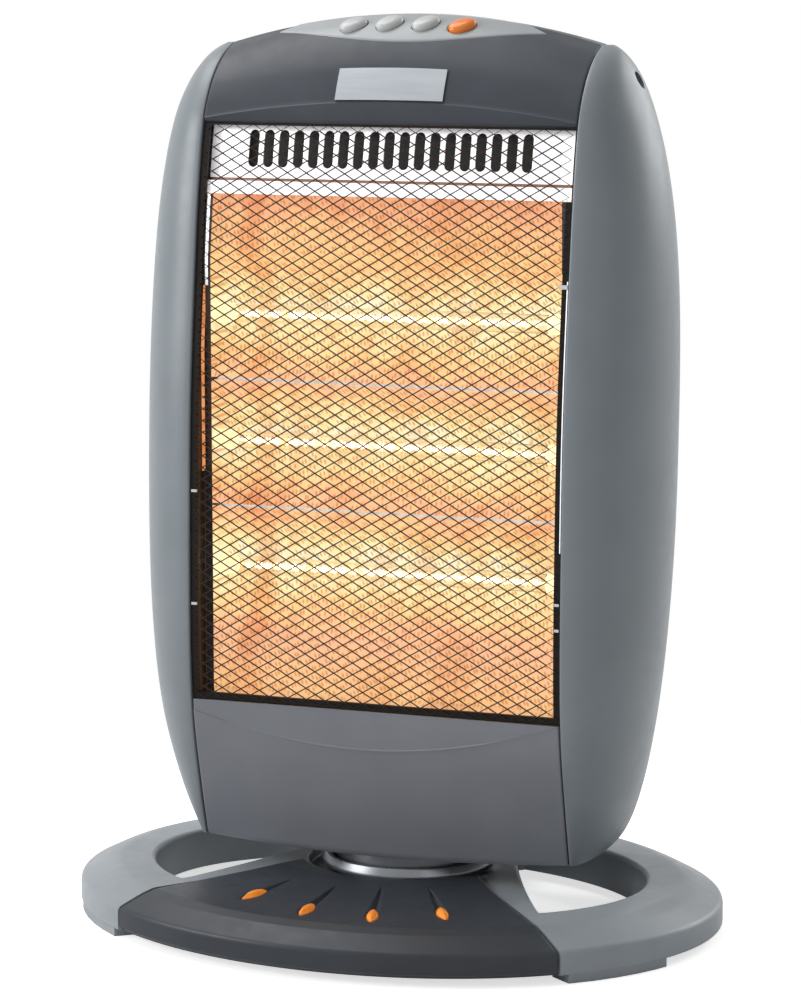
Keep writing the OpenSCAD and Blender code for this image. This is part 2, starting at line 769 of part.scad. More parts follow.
// Centre of the circle that touches all sides of a cell
function cell_centre(c) =
    len(c) == 4
    ? (c[0] + c[2]) / 2
    : let (n = 3, w = [for (k = [0 : 2]) norm(net_flat(c[(k + 1) % n]) - net_flat(c[(k + 2) % n]))])
      (c[0] * w[0] + c[1] * w[1] + c[2] * w[2]) / (w[0] + w[1] + w[2]);
function gap_corner(c, k) =
    let (m = cell_centre(c), f = 1 - strand / 2 / (2 * cell_area(c) / perimeter(c)))
    m + (c[k] - m) * f;
module grille_mesh() color(black) {
    rows = 2 * mesh_nz + 1;
    lattice = rows * (2 * mesh_nx + 1);
    first = [for (q = 0, s = 0; q <= len(net_cells); s = s + (q < len(net_cells) ? len(net_cells[q]) : 0),
        q = q + 1) s];
    lattice_points = [for (deep = [false, true], i = [0 : 2 * mesh_nx], j = [0 : 2 * mesh_nz])
        net_point(i, j, deep)];
    gap_points = [for (deep = [false, true], c = net_cells, k = [0 : len(c) - 1])
        let (g = gap_corner(c, k))
        net_point(g[0], g[1], deep)];
    total = first[len(net_cells)];
    faces = [for (q = [0 : len(net_cells) - 1])
        let (c = net_cells[q], n = len(c))
        for (k = [0 : n - 1])
            let (m = (k + 1) % n,
                a = c[k][0] * rows + c[k][1], b = c[m][0] * rows + c[m][1],
                g = 2 * lattice + first[q] + k, h = 2 * lattice + first[q] + m,
                rim = n == 3 && (c[k][0] == c[m][0] || c[k][1] == c[m][1]))
            each [[a, g, h], [a, h, b],
                [lattice + a, h + total, g + total], [lattice + a, lattice + b, h + total],
                [g, g + total, h + total], [g, h + total, h],
                if (rim) [a, b, lattice + b], if (rim) [a, lattice + b, lattice + a]]];
    polyhedron(concat(lattice_points, gap_points), faces, convexity = 10);
}

clip_places = [[1, 0.17], [1, 0.21], [1, 0.74], [-1, 0.17], [-1, 0.37], [-1, 0.74]];
module grille_clips() color(bright_metal)
    for (p = clip_places)
        let (z = grille_z0 + (grille_z1 - grille_z0) * p[1])
        translate([p[0] * (shell_x - 1.8) - 1.2, front_y(z) - 0.2, z - 4])
            cube([2.4, 1.6, 8]);

// ---- reflector and tubes ----
tube_zs = [for (i = [0 : 2]) body_z + tube_z + i * tube_pitch];
tube_y = hub_y - front_reach + 34;
ridge_y = tube_y - 11;
reflector_x = shell_x - 4.2;
plate_x = reflector_x + 0.3;
plate_w = 1.2;
trough_steps = 8;
upper_z0 = grille_z1 - 44;
function trough(zc, v) = [ridge_y + trough_d * (1 - v * v), zc + tube_pitch / 2 * v];
reflector_line = [[ridge_y - 3, grille_z0 + 1],
    for (i = [0 : 2])
        for (k = [0 : trough_steps])
            if (i == 0 || k > 0)
                trough(tube_zs[i], 2 * k / trough_steps - 1),
    [ridge_y + 8, upper_z0 - 3]];
module reflector() color(bright_metal)
    rotate([90, 0, 90])
        translate([0, 0, -reflector_x])
            linear_extrude(height = 2 * reflector_x)
                polygon(concat(reflector_line,
                    [for (i = [len(reflector_line) - 1 : -1 : 0]) reflector_line[i] + [1.2, 0]]));

slot_w = 5.6;
slot_h = 22;
slot_z = grille_z1 - 15;
module upper_reflector() color(bright_metal)
    difference() {
        front_band(upper_z0, grille_z1 - 1, 7.5, 8.5, shell_x - 2, 6);
        for (i = [0 : slot_n - 1])
            translate([(i - (slot_n - 1) / 2) * slot_pitch, 0, slot_z])
                rotate([90, 0, 0])
                    linear_extrude(height = 200, center = true)
                        union() {
                            translate([0, (slot_h - slot_w) / 2])
                                circle(d = slot_w);
                            translate([0, -(slot_h - slot_w) / 2])
                                circle(d = slot_w);
                            square([slot_w, slot_h - slot_w], center = true);
                        }
    }

shield_y = ridge_y + trough_d + 8;
cap_r = 7;
module end_plate(side)
    translate([side > 0 ? plate_x : -plate_x - plate_w, 0, 0])
        difference() {
            rotate([90, 0, 90])
                linear_extrude(height = plate_w)
                    polygon([for (i = [0 : 10])
                            let (z = grille_z0 + (upper_z0 - grille_z0) * i / 10)
                            [front_y(z) + grille_inset + grille_t + 0.3, z],
                        [shield_y + 2, upper_z0], [shield_y + 2, grille_z0]]);
            for (z = tube_zs)
                translate([-1, tube_y, z])
                    rotate([0, 90, 0])
                        cylinder(h = 10, r = cap_r + 0.3);
        }
module left_end_plate() color(black)
    end_plate(-1);
module right_end_plate() color(black)
    end_plate(1);

tube_wall = 0.9;
module quartz_tube(z)
    translate([-tube_l / 2, tube_y, z])
        rotate([0, 90, 0])
            difference() {
                cylinder(h = tube_l, r = tube_r);
                translate([0, 0, -1])
                    cylinder(h = tube_l + 2, r = tube_r - tube_wall);
            }
module tube_lower() color([1, 0.8, 0.5, 0.5])
    quartz_tube(tube_zs[0]);
module tube_middle() color([1, 0.8, 0.5, 0.5])
    quartz_tube(tube_zs[1]);
module tube_upper() color([1, 0.8, 0.5, 0.5])
    quartz_tube(tube_zs[2]);

// Filament: one unbroken wound wire with straight ends
coil_r = 2.6;
wire_r = 0.5;
lead_l = 4;
coil_l = tube_l - 2 * lead_l - 2;
ring_n = 8;
side_n = 6;
coil_pitch = coil_l / coil_turns;
function coil_point(t) =
    let (a = 360 * t, r = coil_r * min(1, t * 2, (coil_turns - t) * 2))
    [-coil_l / 2 + coil_pitch * t, r * cos(a), r * sin(a)];
coil_path = concat([[-tube_l / 2, 0, 0]],
    [for (i = [0 : ring_n * coil_turns]) coil_point(i / ring_n)],
    [[tube_l / 2, 0, 0]]);
coil_gap = min([for (i = [1 : len(coil_path) - 2], j = [i + ring_n / 2 : len(coil_path) - 2])
    if (j > i) norm(coil_path[i] - coil_path[j])]) - 2 * wire_r;
echo(least_gap_between_filament_turns = coil_gap);
function along(p, i) =
    let (d = p[min(i + 1, len(p) - 1)] - p[max(i - 1, 0)])
    d / norm(d);
function ring_at(p, i, r) =
    let (d = along(p, i), u0 = cross(d, [0, sin(7), cos(7)]), u = u0 / norm(u0), w = cross(d, u))
    [for (k = [0 : side_n - 1]) p[i] + r * (cos(360 * k / side_n) * u + sin(360 * k / side_n) * w)];
module wire(p, r) {
    n = len(p);
    points = [for (i = [0 : n - 1]) each ring_at(p, i, r)];
    sides = [for (i = [0 : n - 2], k = [0 : side_n - 1])
        let (m = (k + 1) % side_n, a = i * side_n + k, b = i * side_n + m)
        each [[a, b + side_n, b], [a, a + side_n, b + side_n]]];
    caps = [for (k = [1 : side_n - 2])
        each [[0, k, k + 1], [(n - 1) * side_n, (n - 1) * side_n + k + 1, (n - 1) * side_n + k]]];
    polyhedron(points, concat(sides, caps), convexity = 10);
}
module filament(z)
    translate([0, tube_y, z])
        wire(coil_path, wire_r);
module filament_lower() color(orange)
    filament(tube_zs[0]);
module filament_middle() color(orange)
    filament(tube_zs[1]);
module filament_upper() color(orange)
    filament(tube_zs[2]);

cap_in = 0.3;
cap_l = plate_x + plate_w + 3 - tube_l / 2;
module end_caps() color(ceramic)
    for (z = tube_zs)
        for (side = [-1, 1])
            translate([side * (tube_l / 2 + cap_in), tube_y, z])
                rotate([0, side * 90, 0])
                    cylinder(h = cap_l, r = cap_r);

module tube_clips() color(steel)
    for (z = tube_zs)
        for (side = [-1, 1])
            translate([side * (plate_x + plate_w + 1.8), tube_y, z])
                rotate([0, 90, 0])
                    difference() {
                        cylinder(h = 1.2, r = cap_r + 3, center = true);
                        cylinder(h = 4, r = cap_r + 0.1, center = true);
                    }

module heat_shield() color(steel)
    translate([-reflector_x, shield_y, grille_z0 + 4])
        cube([2 * reflector_x, 0.8, upper_z0 - grille_z0 - 8]);

module thermal_cutout() color(black)
    translate([0, shield_y + 1, tube_zs[2] + 22])
        rotate([-90, 0, 0]) {
            cylinder(h = 7, r = 9);
            cylinder(h = 10, r = 4);
        }

// ---- drive and wiring under the reflector ----
motor_y = hub_y - crank_reach;
motor_z = yoke_z + yoke_t + 4.4;
motor_r = 24;
motor_h = 18;
module swing_motor() color(steel) {
    difference() {
        translate([0, motor_y, motor_z])
            cylinder(h = motor_h, r = motor_r);
        translate([0, motor_y, motor_z - 1])
            cylinder(h = 9, r = shaft_r + 0.05);
    }
    for (side = [-1, 1])
        translate([side * (motor_r + 8), motor_y, body_z + floor_t]) {
            cylinder(h = motor_z - body_z - floor_t, r = 3);
            translate([0, 0, motor_z - body_z - floor_t])
                cylinder(h = 2, r = 10);
        }
}

// Crank on the motor shaft: its pin runs in the slot of the fixed arm
shaft_r = 2.5;
crank_t = 2.4;
crank_z = motor_z - crank_t - 0.6;
module crank_disc() color(ceramic) {
    translate([0, motor_y, crank_z])
        cylinder(h = crank_t, r = crank_throw + pin_r + 1);
    translate([0, motor_y, crank_z + crank_t - 0.1])
        cylinder(h = 6.7, r = shaft_r);
    translate([0, motor_y - crank_throw, yoke_z + 0.5])
        cylinder(h = crank_z - yoke_z - 0.4, r = pin_r);
}

module terminal_block() color(ceramic)
    translate([40, hub_y + 20, body_z + floor_t])
        cube([36, 16, 14]);

base_ring();
base_plate();
wedge_cover();
leaf_inserts();
foot_pads();
thrust_washer();
yoke_arm();
tip_switch();
tip_plunger();
tip_spring();
base_screws();
turntable_collar();
pivot_tube();
pivot_nut();
floor_plate();
left_casing();
right_casing();
top_cover();
control_panel();
button_low();
button_medium();
button_high();
button_swing();
switch_block();
badge_plate();
lower_cover();
rear_cover();
grille_frame();
grille_mesh();
grille_clips();
upper_reflector();
reflector();
left_end_plate();
right_end_plate();
tube_lower();
tube_middle();
tube_upper();
filament_lower();
filament_middle();
filament_upper();
end_caps();
tube_clips();
heat_shield();
swing_motor();
crank_disc();
thermal_cutout();
terminal_block();
cord_bush();
rear_screws();
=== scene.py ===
import math
import bmesh
import bpy
from mathutils import Matrix, Vector


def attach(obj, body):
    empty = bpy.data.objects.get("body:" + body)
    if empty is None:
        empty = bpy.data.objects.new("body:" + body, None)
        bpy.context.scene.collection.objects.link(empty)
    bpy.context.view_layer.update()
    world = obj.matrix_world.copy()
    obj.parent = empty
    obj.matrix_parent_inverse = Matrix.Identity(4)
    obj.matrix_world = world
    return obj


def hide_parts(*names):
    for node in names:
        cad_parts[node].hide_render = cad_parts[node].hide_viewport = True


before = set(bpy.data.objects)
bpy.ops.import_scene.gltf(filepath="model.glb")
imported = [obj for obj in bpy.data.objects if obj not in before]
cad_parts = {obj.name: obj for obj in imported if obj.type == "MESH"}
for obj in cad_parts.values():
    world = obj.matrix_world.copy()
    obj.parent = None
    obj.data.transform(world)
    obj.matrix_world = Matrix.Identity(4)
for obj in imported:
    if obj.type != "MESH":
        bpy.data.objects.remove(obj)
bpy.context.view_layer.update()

# ---- Camera ----
# The heater is looked at from its right front and from a little above its middle.
# The lens is long, so its upright edges stay nearly parallel.
bpy.context.scene.view_settings.view_transform = "Standard"
look_down, look_left = 9.088, 19.483
camera = bpy.data.objects.new("camera", bpy.data.cameras.new("camera"))
bpy.context.scene.collection.objects.link(camera)
camera.location = (0.6628, -1.8689, 0.5716)
camera.rotation_euler = (math.radians(90 - look_down), 0, math.radians(look_left))
camera.data.sensor_width = 36
camera.data.lens = 120.6
bpy.context.scene.camera = camera

# ---- Foot ring ----
# The foot is one light grey oval moulding, hollow from below. Its flat top falls away over a
# chamfer to a short skirt, and a bridge across it carries the round dish that the hub sits in.
mm = 0.001
foot_half_w, foot_half_d = 200.0, 152.5
foot_top = 29.6
foot_wall = 2.6
rim_squash = 0.8
rim_sides = 240
hub_y = 22.0
hub_r = 20.0
nut_room_r = 16.0
pivot_bore_r = 12.05
dish_r, dish_floor = 62.0, 22.0
dish_wall = 4.0
inner_half_w, inner_half_d = 154.0, 104.0
gap_mid_x, gap_mid_y = 112.0, 4.0
gap_corner = 5.0
gap_edge = 3.2
bridge_x, bridge_y, bridge_r = 818.0, 306.0, 800.0
# Corners of the section: how far in from the rim, how high, and how much the corner is eased
foot_edge = [(6, 5.2, 0), (0, 5.2, 0.8), (0, 19.1, 3.0), (16, 27.0, 3), (24, 29.6, 3), (60, 29.6, 0)]
foot_inside = [(2.6, 0, 0), (2.6, 17.8, 2), (18.6, 24.4, 3), (26.6, 27.0, 4), (60, 27.0, 0)]


def smoothed(mesh, crisp):
    mesh.shade_smooth()
    mesh.set_sharp_from_angle(angle=math.radians(crisp))


def linked(name, mesh):
    piece = bpy.data.objects.new(name, mesh)
    bpy.context.scene.collection.objects.link(piece)
    return piece


def moulding(name, points, faces, crisp=35):
    mesh = bpy.data.meshes.new(name)
    mesh.from_pydata([(x * mm, y * mm, z * mm) for x, y, z in points], [], faces)
    work = bmesh.new()
    work.from_mesh(mesh)
    bmesh.ops.recalc_face_normals(work, faces=work.faces)
    work.to_mesh(mesh)
    work.free()
    smoothed(mesh, crisp)
    return linked(name, mesh)


def eased(corners, steps=5):
    # An outline whose corners are rounded, each by its own amount
    line = []
    for i, (x, y, ease) in enumerate(corners):
        if ease == 0:
            line.append((x, y))
            continue
        ax, ay, _ = corners[i - 1]
        bx, by, _ = corners[i + 1]
        before = math.hypot(ax - x, ay - y)
        after = math.hypot(bx - x, by - y)
        p = min(ease, before * 0.49) / before
        q = min(ease, after * 0.49) / after
        for k in range(steps + 1):
            t = k / steps
            a, c = (1 - t) ** 2 * p, t * t * q
            line.append((x + a * (ax - x) + c * (bx - x), y + a * (ay - y) + c * (by - y)))
    return line


def ellipse(a, b, sides, x=0.0, y=0.0):
    return [(x + a * math.cos(2 * math.pi * k / sides), y + b * math.sin(2 * math.pi * k / sides))
            for k in range(sides)]


def at_height(outline, z):
    return [(x, y, z) for x, y in outline]


def stacked(name, rings, crisp=35):
    # A solid through a pile of like outlines
    n = len(rings[0])
    points = [p for ring in rings for p in ring]
    last = (len(rings) - 1) * n
    faces = [(i * n + k, i * n + (k + 1) % n, (i + 1) * n + (k + 1) % n, (i + 1) * n + k)
             for i in range(len(rings) - 1) for k in range(n)]
    faces.append(tuple(range(n - 1, -1, -1)))
    faces.append(tuple(range(last, last + n)))
    return moulding(name, points, faces, crisp)


def prism(name, outline, z0, z1):
    return stacked(name, [at_height(outline, z) for z in (z0, z1)])


def round_bar(name, r, z0, z1, x=0.0, y=hub_y, sides=96):
    return prism(name, ellipse(r, r, sides, x, y), z0, z1)


def rim(inset):
    # Half width and half depth of the foot's oval, drawn in from the rim
    return foot_half_w - inset, foot_half_d - rim_squash * inset


def oval_ring(inset, z):
    return at_height(ellipse(*rim(inset), rim_sides), z)


def trimmed(piece, tool):
    cut = piece.modifiers.new("cut", "BOOLEAN")
    cut.operation = "DIFFERENCE"
    cut.solver = "EXACT"
    cut.object = tool
    bpy.context.view_layer.update()
    seen = piece.evaluated_get(bpy.context.evaluated_depsgraph_get())
    mesh = bpy.data.meshes.new_from_object(seen)
    piece.modifiers.clear()
    piece.data = mesh
    smoothed(mesh, 35)
    bpy.data.objects.remove(tool)
    return piece


def foot_gap_ring(side, grow, z):
    # Outline of the opening beside the bridge. Each ray from its middle ends at the oval rim or
    # at the curved side of the bridge, whichever it meets first, with a round corner between.
    cx, cy = side * gap_mid_x, gap_mid_y
    a, b = inner_half_w + grow, inner_half_d + grow
    ox, oy = cx - side * bridge_x, cy - bridge_y
    ring = []
    for dx, dy in ellipse(1, 1, 120):
        qa = (dx / a) ** 2 + (dy / b) ** 2
        qb = cx * dx / a ** 2 + cy * dy / b ** 2
        qc = (cx / a) ** 2 + (cy / b) ** 2 - 1
        to_rim = (-qb + math.sqrt(qb * qb - qa * qc)) / qa
        pb = ox * dx + oy * dy
        to_bridge = -pb + math.sqrt(pb * pb - (ox * ox + oy * oy - (bridge_r + grow) ** 2))
        rounding = max(0.0, gap_corner - abs(to_rim - to_bridge)) ** 2 / (4 * gap_corner)
        reach = min(to_rim, to_bridge) - rounding
        ring.append((cx + reach * dx, cy + reach * dy, z))
    return ring


def foot_gap(side, grow, top_ease):
    rings = [foot_gap_ring(side, grow, z) for z in (-2, foot_top - top_ease)]
    if top_ease:
        for k in range(1, 7):
            turn = math.pi / 2 * k / 6
            out = top_ease * (1 - math.cos(turn))
            rings.append(foot_gap_ring(side, grow + out, foot_top - top_ease * (1 - math.sin(turn))))
    rings.append(foot_gap_ring(side, grow + top_ease, foot_top + 20))
    return stacked("foot_gap", rings)


wedge_side = eased([(55.03, -14.97, 0), (78, -49, 10), (119, -100.6, 7), (135.8, -112.2, 0)], 6)


def wedge_prism(grow):
    right = [(x + grow, y + grow) for x, y in wedge_side]
    plan = [(0, 21.0), (40, 6.0)] + right + [(165, -118), (165, -180), (-165, -180), (-165, -118)]
    return prism("wedge_prism", plan + [(-x, y) for x, y in reversed(right)] + [(-40, 6.0)], -3, 60)


foot_ring = stacked("foot_ring", [oval_ring(t, z) for t, z in eased(foot_edge)])
hollow = stacked("hollow", [oval_ring(t, z) for t, z in eased(foot_inside)])
for side in (-1, 1):
    trimmed(hollow, foot_gap(side, foot_wall, 0))
trimmed(hollow, round_bar("hub_wall", dish_r + dish_wall, -5, 60))
trimmed(foot_ring, hollow)
for side in (-1, 1):
    trimmed(foot_ring, foot_gap(side, 0, gap_edge))
dish_lip = (dish_r + 6, foot_top + 0.4, 0)
dish_line = eased([(0, dish_floor, 0), (dish_r, dish_floor, 1.5), (dish_r, foot_top, 2.4), dish_lip])
dish_line = [(0.5, dish_floor)] + dish_line[1:] + [(dish_r + 6, foot_top + 20)]
trimmed(foot_ring, stacked("dish", [at_height(ellipse(r, r, 128, 0, hub_y), z) for r, z in dish_line]))
under = round_bar("under", dish_r, -2, 16)
trimmed(under, round_bar("boss", hub_r, -3, 20))
trimmed(foot_ring, under)
trimmed(foot_ring, round_bar("nut_room", nut_room_r, -2, 16))
trimmed(foot_ring, round_bar("pivot_bore", pivot_bore_r, -2, 60))
front = wedge_prism(1.2)
trimmed(front, round_bar("hub_wall", dish_r + dish_wall, -5, 80))
trimmed(foot_ring, front)
foot_ring.modifiers.new("flat_tops", "WEIGHTED_NORMAL").keep_sharp = True


def paint(red, green, blue):
    # A screen colour, each part from 0 to 255, as the shader's linear colour
    return [((c / 255 + 0.055) / 1.055) ** 2.4 if c > 10 else c / 255 / 12.92
            for c in (red, green, blue)] + [1.0]


def sockets(finish):
    return finish.node_tree.nodes["Principled BSDF"].inputs


def node(tree, kind, levels, **settings):
    # A new node of a material. Each of its levels is a number, or the socket that feeds it
    made = tree.nodes.new("ShaderNode" + kind)
    for setting, choice in settings.items():
        setattr(made, setting, choice)
    for socket, level in levels.items():
        if isinstance(level, bpy.types.NodeSocket):
            tree.links.new(level, made.inputs[socket])
        else:
            made.inputs[socket].default_value = level
    return made.outputs


def feed(finish, socket, source):
    finish.node_tree.links.new(source, sockets(finish)[socket])


def clouds(finish, size, detail=2.0, squeeze=None):
    # Noise fixed to the piece, with clouds of about this size in millimetres
    tree = finish.node_tree
    where = node(tree, "TexCoord", {})["Object"]
    if squeeze:
        where = node(tree, "Mapping", {"Vector": where, "Scale": squeeze})["Vector"]
    return node(tree, "TexNoise", {"Vector": where, "Scale": 1000 / size, "Detail": detail})["Fac"]


def roughened(finish, fac, low, high):
    # The roughness runs from low to high with the noise
    spread = {"Value": fac, "From Min": 0.3, "From Max": 0.7, "To Min": low, "To Max": high}
    feed(finish, "Roughness", node(finish.node_tree, "MapRange", spread)["Result"])


def banded(finish, fac, stops):
    # A colour that follows the noise from stop to stop
    ramp = finish.node_tree.nodes.new("ShaderNodeValToRGB")
    while len(ramp.color_ramp.elements) < len(stops):
        ramp.color_ramp.elements.new(0.5)
    for mark, (place, colour) in zip(ramp.color_ramp.elements, stops):
        mark.position = place
        mark.color = colour
    finish.node_tree.links.new(fac, ramp.inputs["Fac"])
    return ramp.outputs["Color"]


def two_toned(finish, fac, socket, dark, light, marks=(0.3, 0.7)):
    feed(finish, socket, banded(finish, fac, list(zip(marks, (paint(*dark), paint(*light))))))


def embossed(finish, fac, depth, strength=0.4):
    bump = {"Height": fac, "Strength": strength, "Distance": depth * mm}
    feed(finish, "Normal", node(finish.node_tree, "Bump", bump)["Normal"])


def new_finish(name, levels):
    finish = bpy.data.materials.new(name)
    finish.use_nodes = True
    for socket, level in levels.items():
        sockets(finish)[socket].default_value = level
    return finish


def uneven(name, tones, dull, grain=None, lit=None, **levels):
    # tones and lit hold the size and detail of the clouds, with a dark and a light colour;
    # dull holds them with the least and most roughness, and grain is the bumps' size and depth
    finish = new_finish(name, {socket.replace("_", " "): level for socket, level in levels.items()})
    for socket, look in (("Base Color", tones), ("Emission Color", lit)):
        if look:
            size, detail, dark, light, *squeeze = look
            two_toned(finish, clouds(finish, size, detail, *squeeze), socket, dark, light)
    roughened(finish, clouds(finish, *dull[:2]), *dull[2:])
    if grain:
        embossed(finish, clouds(finish, grain[0], 2), *grain[1:])
    return finish


def plastic(name, colour, dull=(0.36, 0.46), mottle=5, grain=0.5, depth=0.012, **levels):
    dark, light = ([c + step for c in colour] for step in (-mottle, mottle))
    return uneven(name, (42, 3, dark, light), (9, 3, *dull), (grain, depth), **levels)


def fitted(piece, finish, body, slot, *nodes):
    piece.data.materials.clear()
    piece.data.materials.append(finish)
    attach(piece, body)
    if nodes:
        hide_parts(*nodes)


light_grey_plastic = plastic("light_grey_plastic", (142, 148, 153))
fitted(foot_ring, light_grey_plastic, "base", "light_grey_plastic", "base_ring")

# ---- Bottom plate and its screws ----
# A flat black plate in two halves closes the foot from below, and four cross-head screws hold
# it up to the moulding.
plate_low, plate_high = 5.2, 7.2
plate_inset = 2.9
screw_r, screw_head_r = 2.0, 3.6
screws_half_w, screws_half_d = 177, 129.5
screw_spots = [(screws_half_w * math.cos(math.radians(a)), screws_half_d * math.sin(math.radians(a)))
               for a in (-148, -32, 57.5, 122.5)]
tip_y = 118.5
plunger_room_r = 4.6


def dressed(node, finish, ease=0.0):
    # A piece that stays as the CAD made it gets its finish, and round edges
    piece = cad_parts[node]
    piece.data.materials.clear()
    piece.data.materials.append(finish)
    smoothed(piece.data, 30)
    if ease:
        piece.modifiers.new("join", "WELD").merge_threshold = 0.00001
        round_edges = piece.modifiers.new("round_edges", "BEVEL")
        round_edges.width = ease * mm
        round_edges.segments = 2
        round_edges.limit_method = "ANGLE"
        round_edges.angle_limit = math.radians(40)
        piece.modifiers.new("flat_faces", "WEIGHTED_NORMAL").keep_sharp = True


bottom = stacked("bottom_plate", [oval_ring(plate_inset, z) for z in (plate_low, plate_high)])
for side in (-1, 1):
    trimmed(bottom, foot_gap(side, plate_inset, 0))
trimmed(bottom, round_bar("hub_room", dish_r + dish_wall + 0.3, -2, 20))
trimmed(bottom, round_bar("plunger_room", plunger_room_r, -2, 20, 0, tip_y, 48))
for x, y in screw_spots:
    trimmed(bottom, round_bar("screw_room", screw_r + 0.3, -2, 20, x, y, 24))
bottom_plastic = plastic("bottom_plastic", (44, 45, 47), (0.5, 0.6), 3)
fitted(bottom, bottom_plastic, "base", "charcoal_plastic", "base_plate")


def bright_metal(name, colour, dull, streaks=(1, 1, 30), lines=0.5, contrast=9):
    # Drawn or rolled metal with fine lines along it
    finish = new_finish(name, {"Metallic": 1.0})
    grain = clouds(finish, lines * 30, 3, streaks)
    dark, light = ([c + step for c in colour] for step in (-contrast, contrast * 2 // 3))
    two_toned(finish, grain, "Base Color", dark, light)
    roughened(finish, grain, *dull)
    embossed(finish, grain, 0.006, 0.25)
    return finish


zinc_steel = bright_metal("zinc_steel", (176, 178, 176), (0.28, 0.42))


def screw_head(x, y, z, high, down):
    # Pan head with a cross recess; down points along the screw into the work
    side = Vector((1, 0, 0))
    along = Vector(down)
    cross = along.cross(side)
    r = screw_head_r

    def spot(h, a, b):
        return tuple(Vector((x, y, z)) - along * h + side * a + cross * b)

    line = eased([(0.01, high, 0), (r * 0.72, high, r * 0.3), (r, 0.35 * high, r * 0.2), (r, 0, 0)], 4)
    head = stacked("screw_head", [[spot(h, a, b) for a, b in ellipse(q, q, 32)] for q, h in line])
    arm, wide = r * 0.62, r * 0.13
    star = [(arm, wide), (wide, wide), (wide, arm), (-wide, arm), (-wide, wide), (-arm, wide),
            (-arm, -wide), (-wide, -wide), (-wide, -arm), (wide, -arm), (wide, -wide), (arm, -wide)]
    recess = [[spot(h, a * f, b * f) for a, b in star] for h, f in ((high * 0.25, 0.45), (high + 0.5, 1.0))]
    return trimmed(head, stacked("recess", recess))


def joined(name, pieces):
    # Several like pieces become one object
    work = bmesh.new()
    for piece in pieces:
        work.from_mesh(piece.data)
        bpy.data.objects.remove(piece)
    mesh = bpy.data.meshes.new(name)
    work.to_mesh(mesh)
    work.free()
    smoothed(mesh, 35)
    return linked(name, mesh)


foot_screws = []
for x, y in screw_spots:
    foot_screws += [screw_head(x, y, 5.3, 1.4, (0, 0, 1)), round_bar("shank", screw_r, 5.2, 12, x, y, 24)]
fitted(joined("foot_screws", foot_screws), zinc_steel, "base", "zinc_steel", "base_screws")

# ---- Wedge cover ----
# A charcoal fan snaps over the front of the foot. It climbs a little from the rim to the hub,
# and four shallow grooves run from the orange leaves towards the hub, narrowing as they go.
leaf_places = [(-56.2, -94.9), (-16.0, -113.0), (24.0, -112.0), (61.0, -95.5)]
groove_ends = [(-45.0, -59.0), (-15.5, -64.0), (10.0, -56.0), (37.0, -51.0)]
leaf_half, leaf_side = 11.6, 3.4
groove_half, groove_deep = 3.6, 2.8
hollow_deep = 1.5
wedge_wall = 2.6
wedge_rise, climb_inset = 2.8, 24
climb_w, climb_d = 96, 83.3
wedge_wide, wedge_long, skirt_wide = 170, 95, 240
wedge_edge = 1.2
crest_inset = 25.5
hub_edge_r = 66.3
hub_from, hub_to = math.radians(-146.1), math.radians(-33.9)


def inside(x, y, a, b):
    return (x / a) ** 2 + (y / b) ** 2 < 1


def last_place(low, high, holds, halvings=24):
    # The last place between low and high where holds() is still true
    for _ in range(halvings):
        middle = (low + high) / 2
        if holds(middle):
            low = middle
        else:
            high = middle
    return low


def foot_height(x, y):
    # Height of the wedge: flat out to its rim, climbing inside an oval towards the hub
    a, b = rim(climb_inset)
    if not inside(x, y, a, b):
        return foot_top
    climb = last_place(0.0, 1.0, lambda t: inside(x, y, a - climb_w * t, b - climb_d * t))
    return foot_top + wedge_rise * climb


def groove_depth(x, y):
    # Depth of the nearest groove, or of the hollow round its leaf
    deepest = 0.0
    for (lx, ly), (gx, gy) in zip(leaf_places, groove_ends):
        dx, dy = gx - lx, gy - ly
        length = math.hypot(dx, dy)
        t = ((x - lx) * dx + (y - ly) * dy) / length ** 2
        off = abs((x - lx) * dy - (y - ly) * dx) / length
        if 0 < t < 1:
            half = groove_half * (1 - t) + 0.3
            share = max(0.0, 1 - off / half) * min(1.0, 5 * (1 - t))
            deepest = max(deepest, groove_deep * share * (1 - 0.5 * t))
        beside = (leaf_side + 1.1) * (1 - (t * length / (leaf_half + 1.6)) ** 2)
        if beside > off:
            deepest = max(deepest, hollow_deep * min(1.0, (beside - off) / 0.8))
    return deepest


def part_way(p, q, t):
    return p[0] + (q[0] - p[0]) * t, p[1] + (q[1] - p[1]) * t


def side_at(inset):
    # Where the side line of the wedge crosses the oval drawn in by this much
    oval = rim(inset)
    for p, q in zip(wedge_side, wedge_side[1:]):
        if not inside(*q, *oval):
            return part_way(p, q, last_place(0.0, 1.0, lambda t: inside(*part_way(p, q, t), *oval)))
    return wedge_side[-1]


def rim_row(inset, z, across):
    a, b = rim(inset)
    x, y = side_at(inset)
    end = math.atan2(y / b, x / a)
    start = -math.pi - end
    turns = [start + (end - start) * u for u in across]
    return [(a * math.cos(turn), b * math.sin(turn), z) for turn in turns]


def rounded_off(distance, radius):
    # How far a rounded edge falls back at this distance from the edge
    short = max(0.0, radius - distance)
    return radius - math.sqrt(radius * radius - short * short)


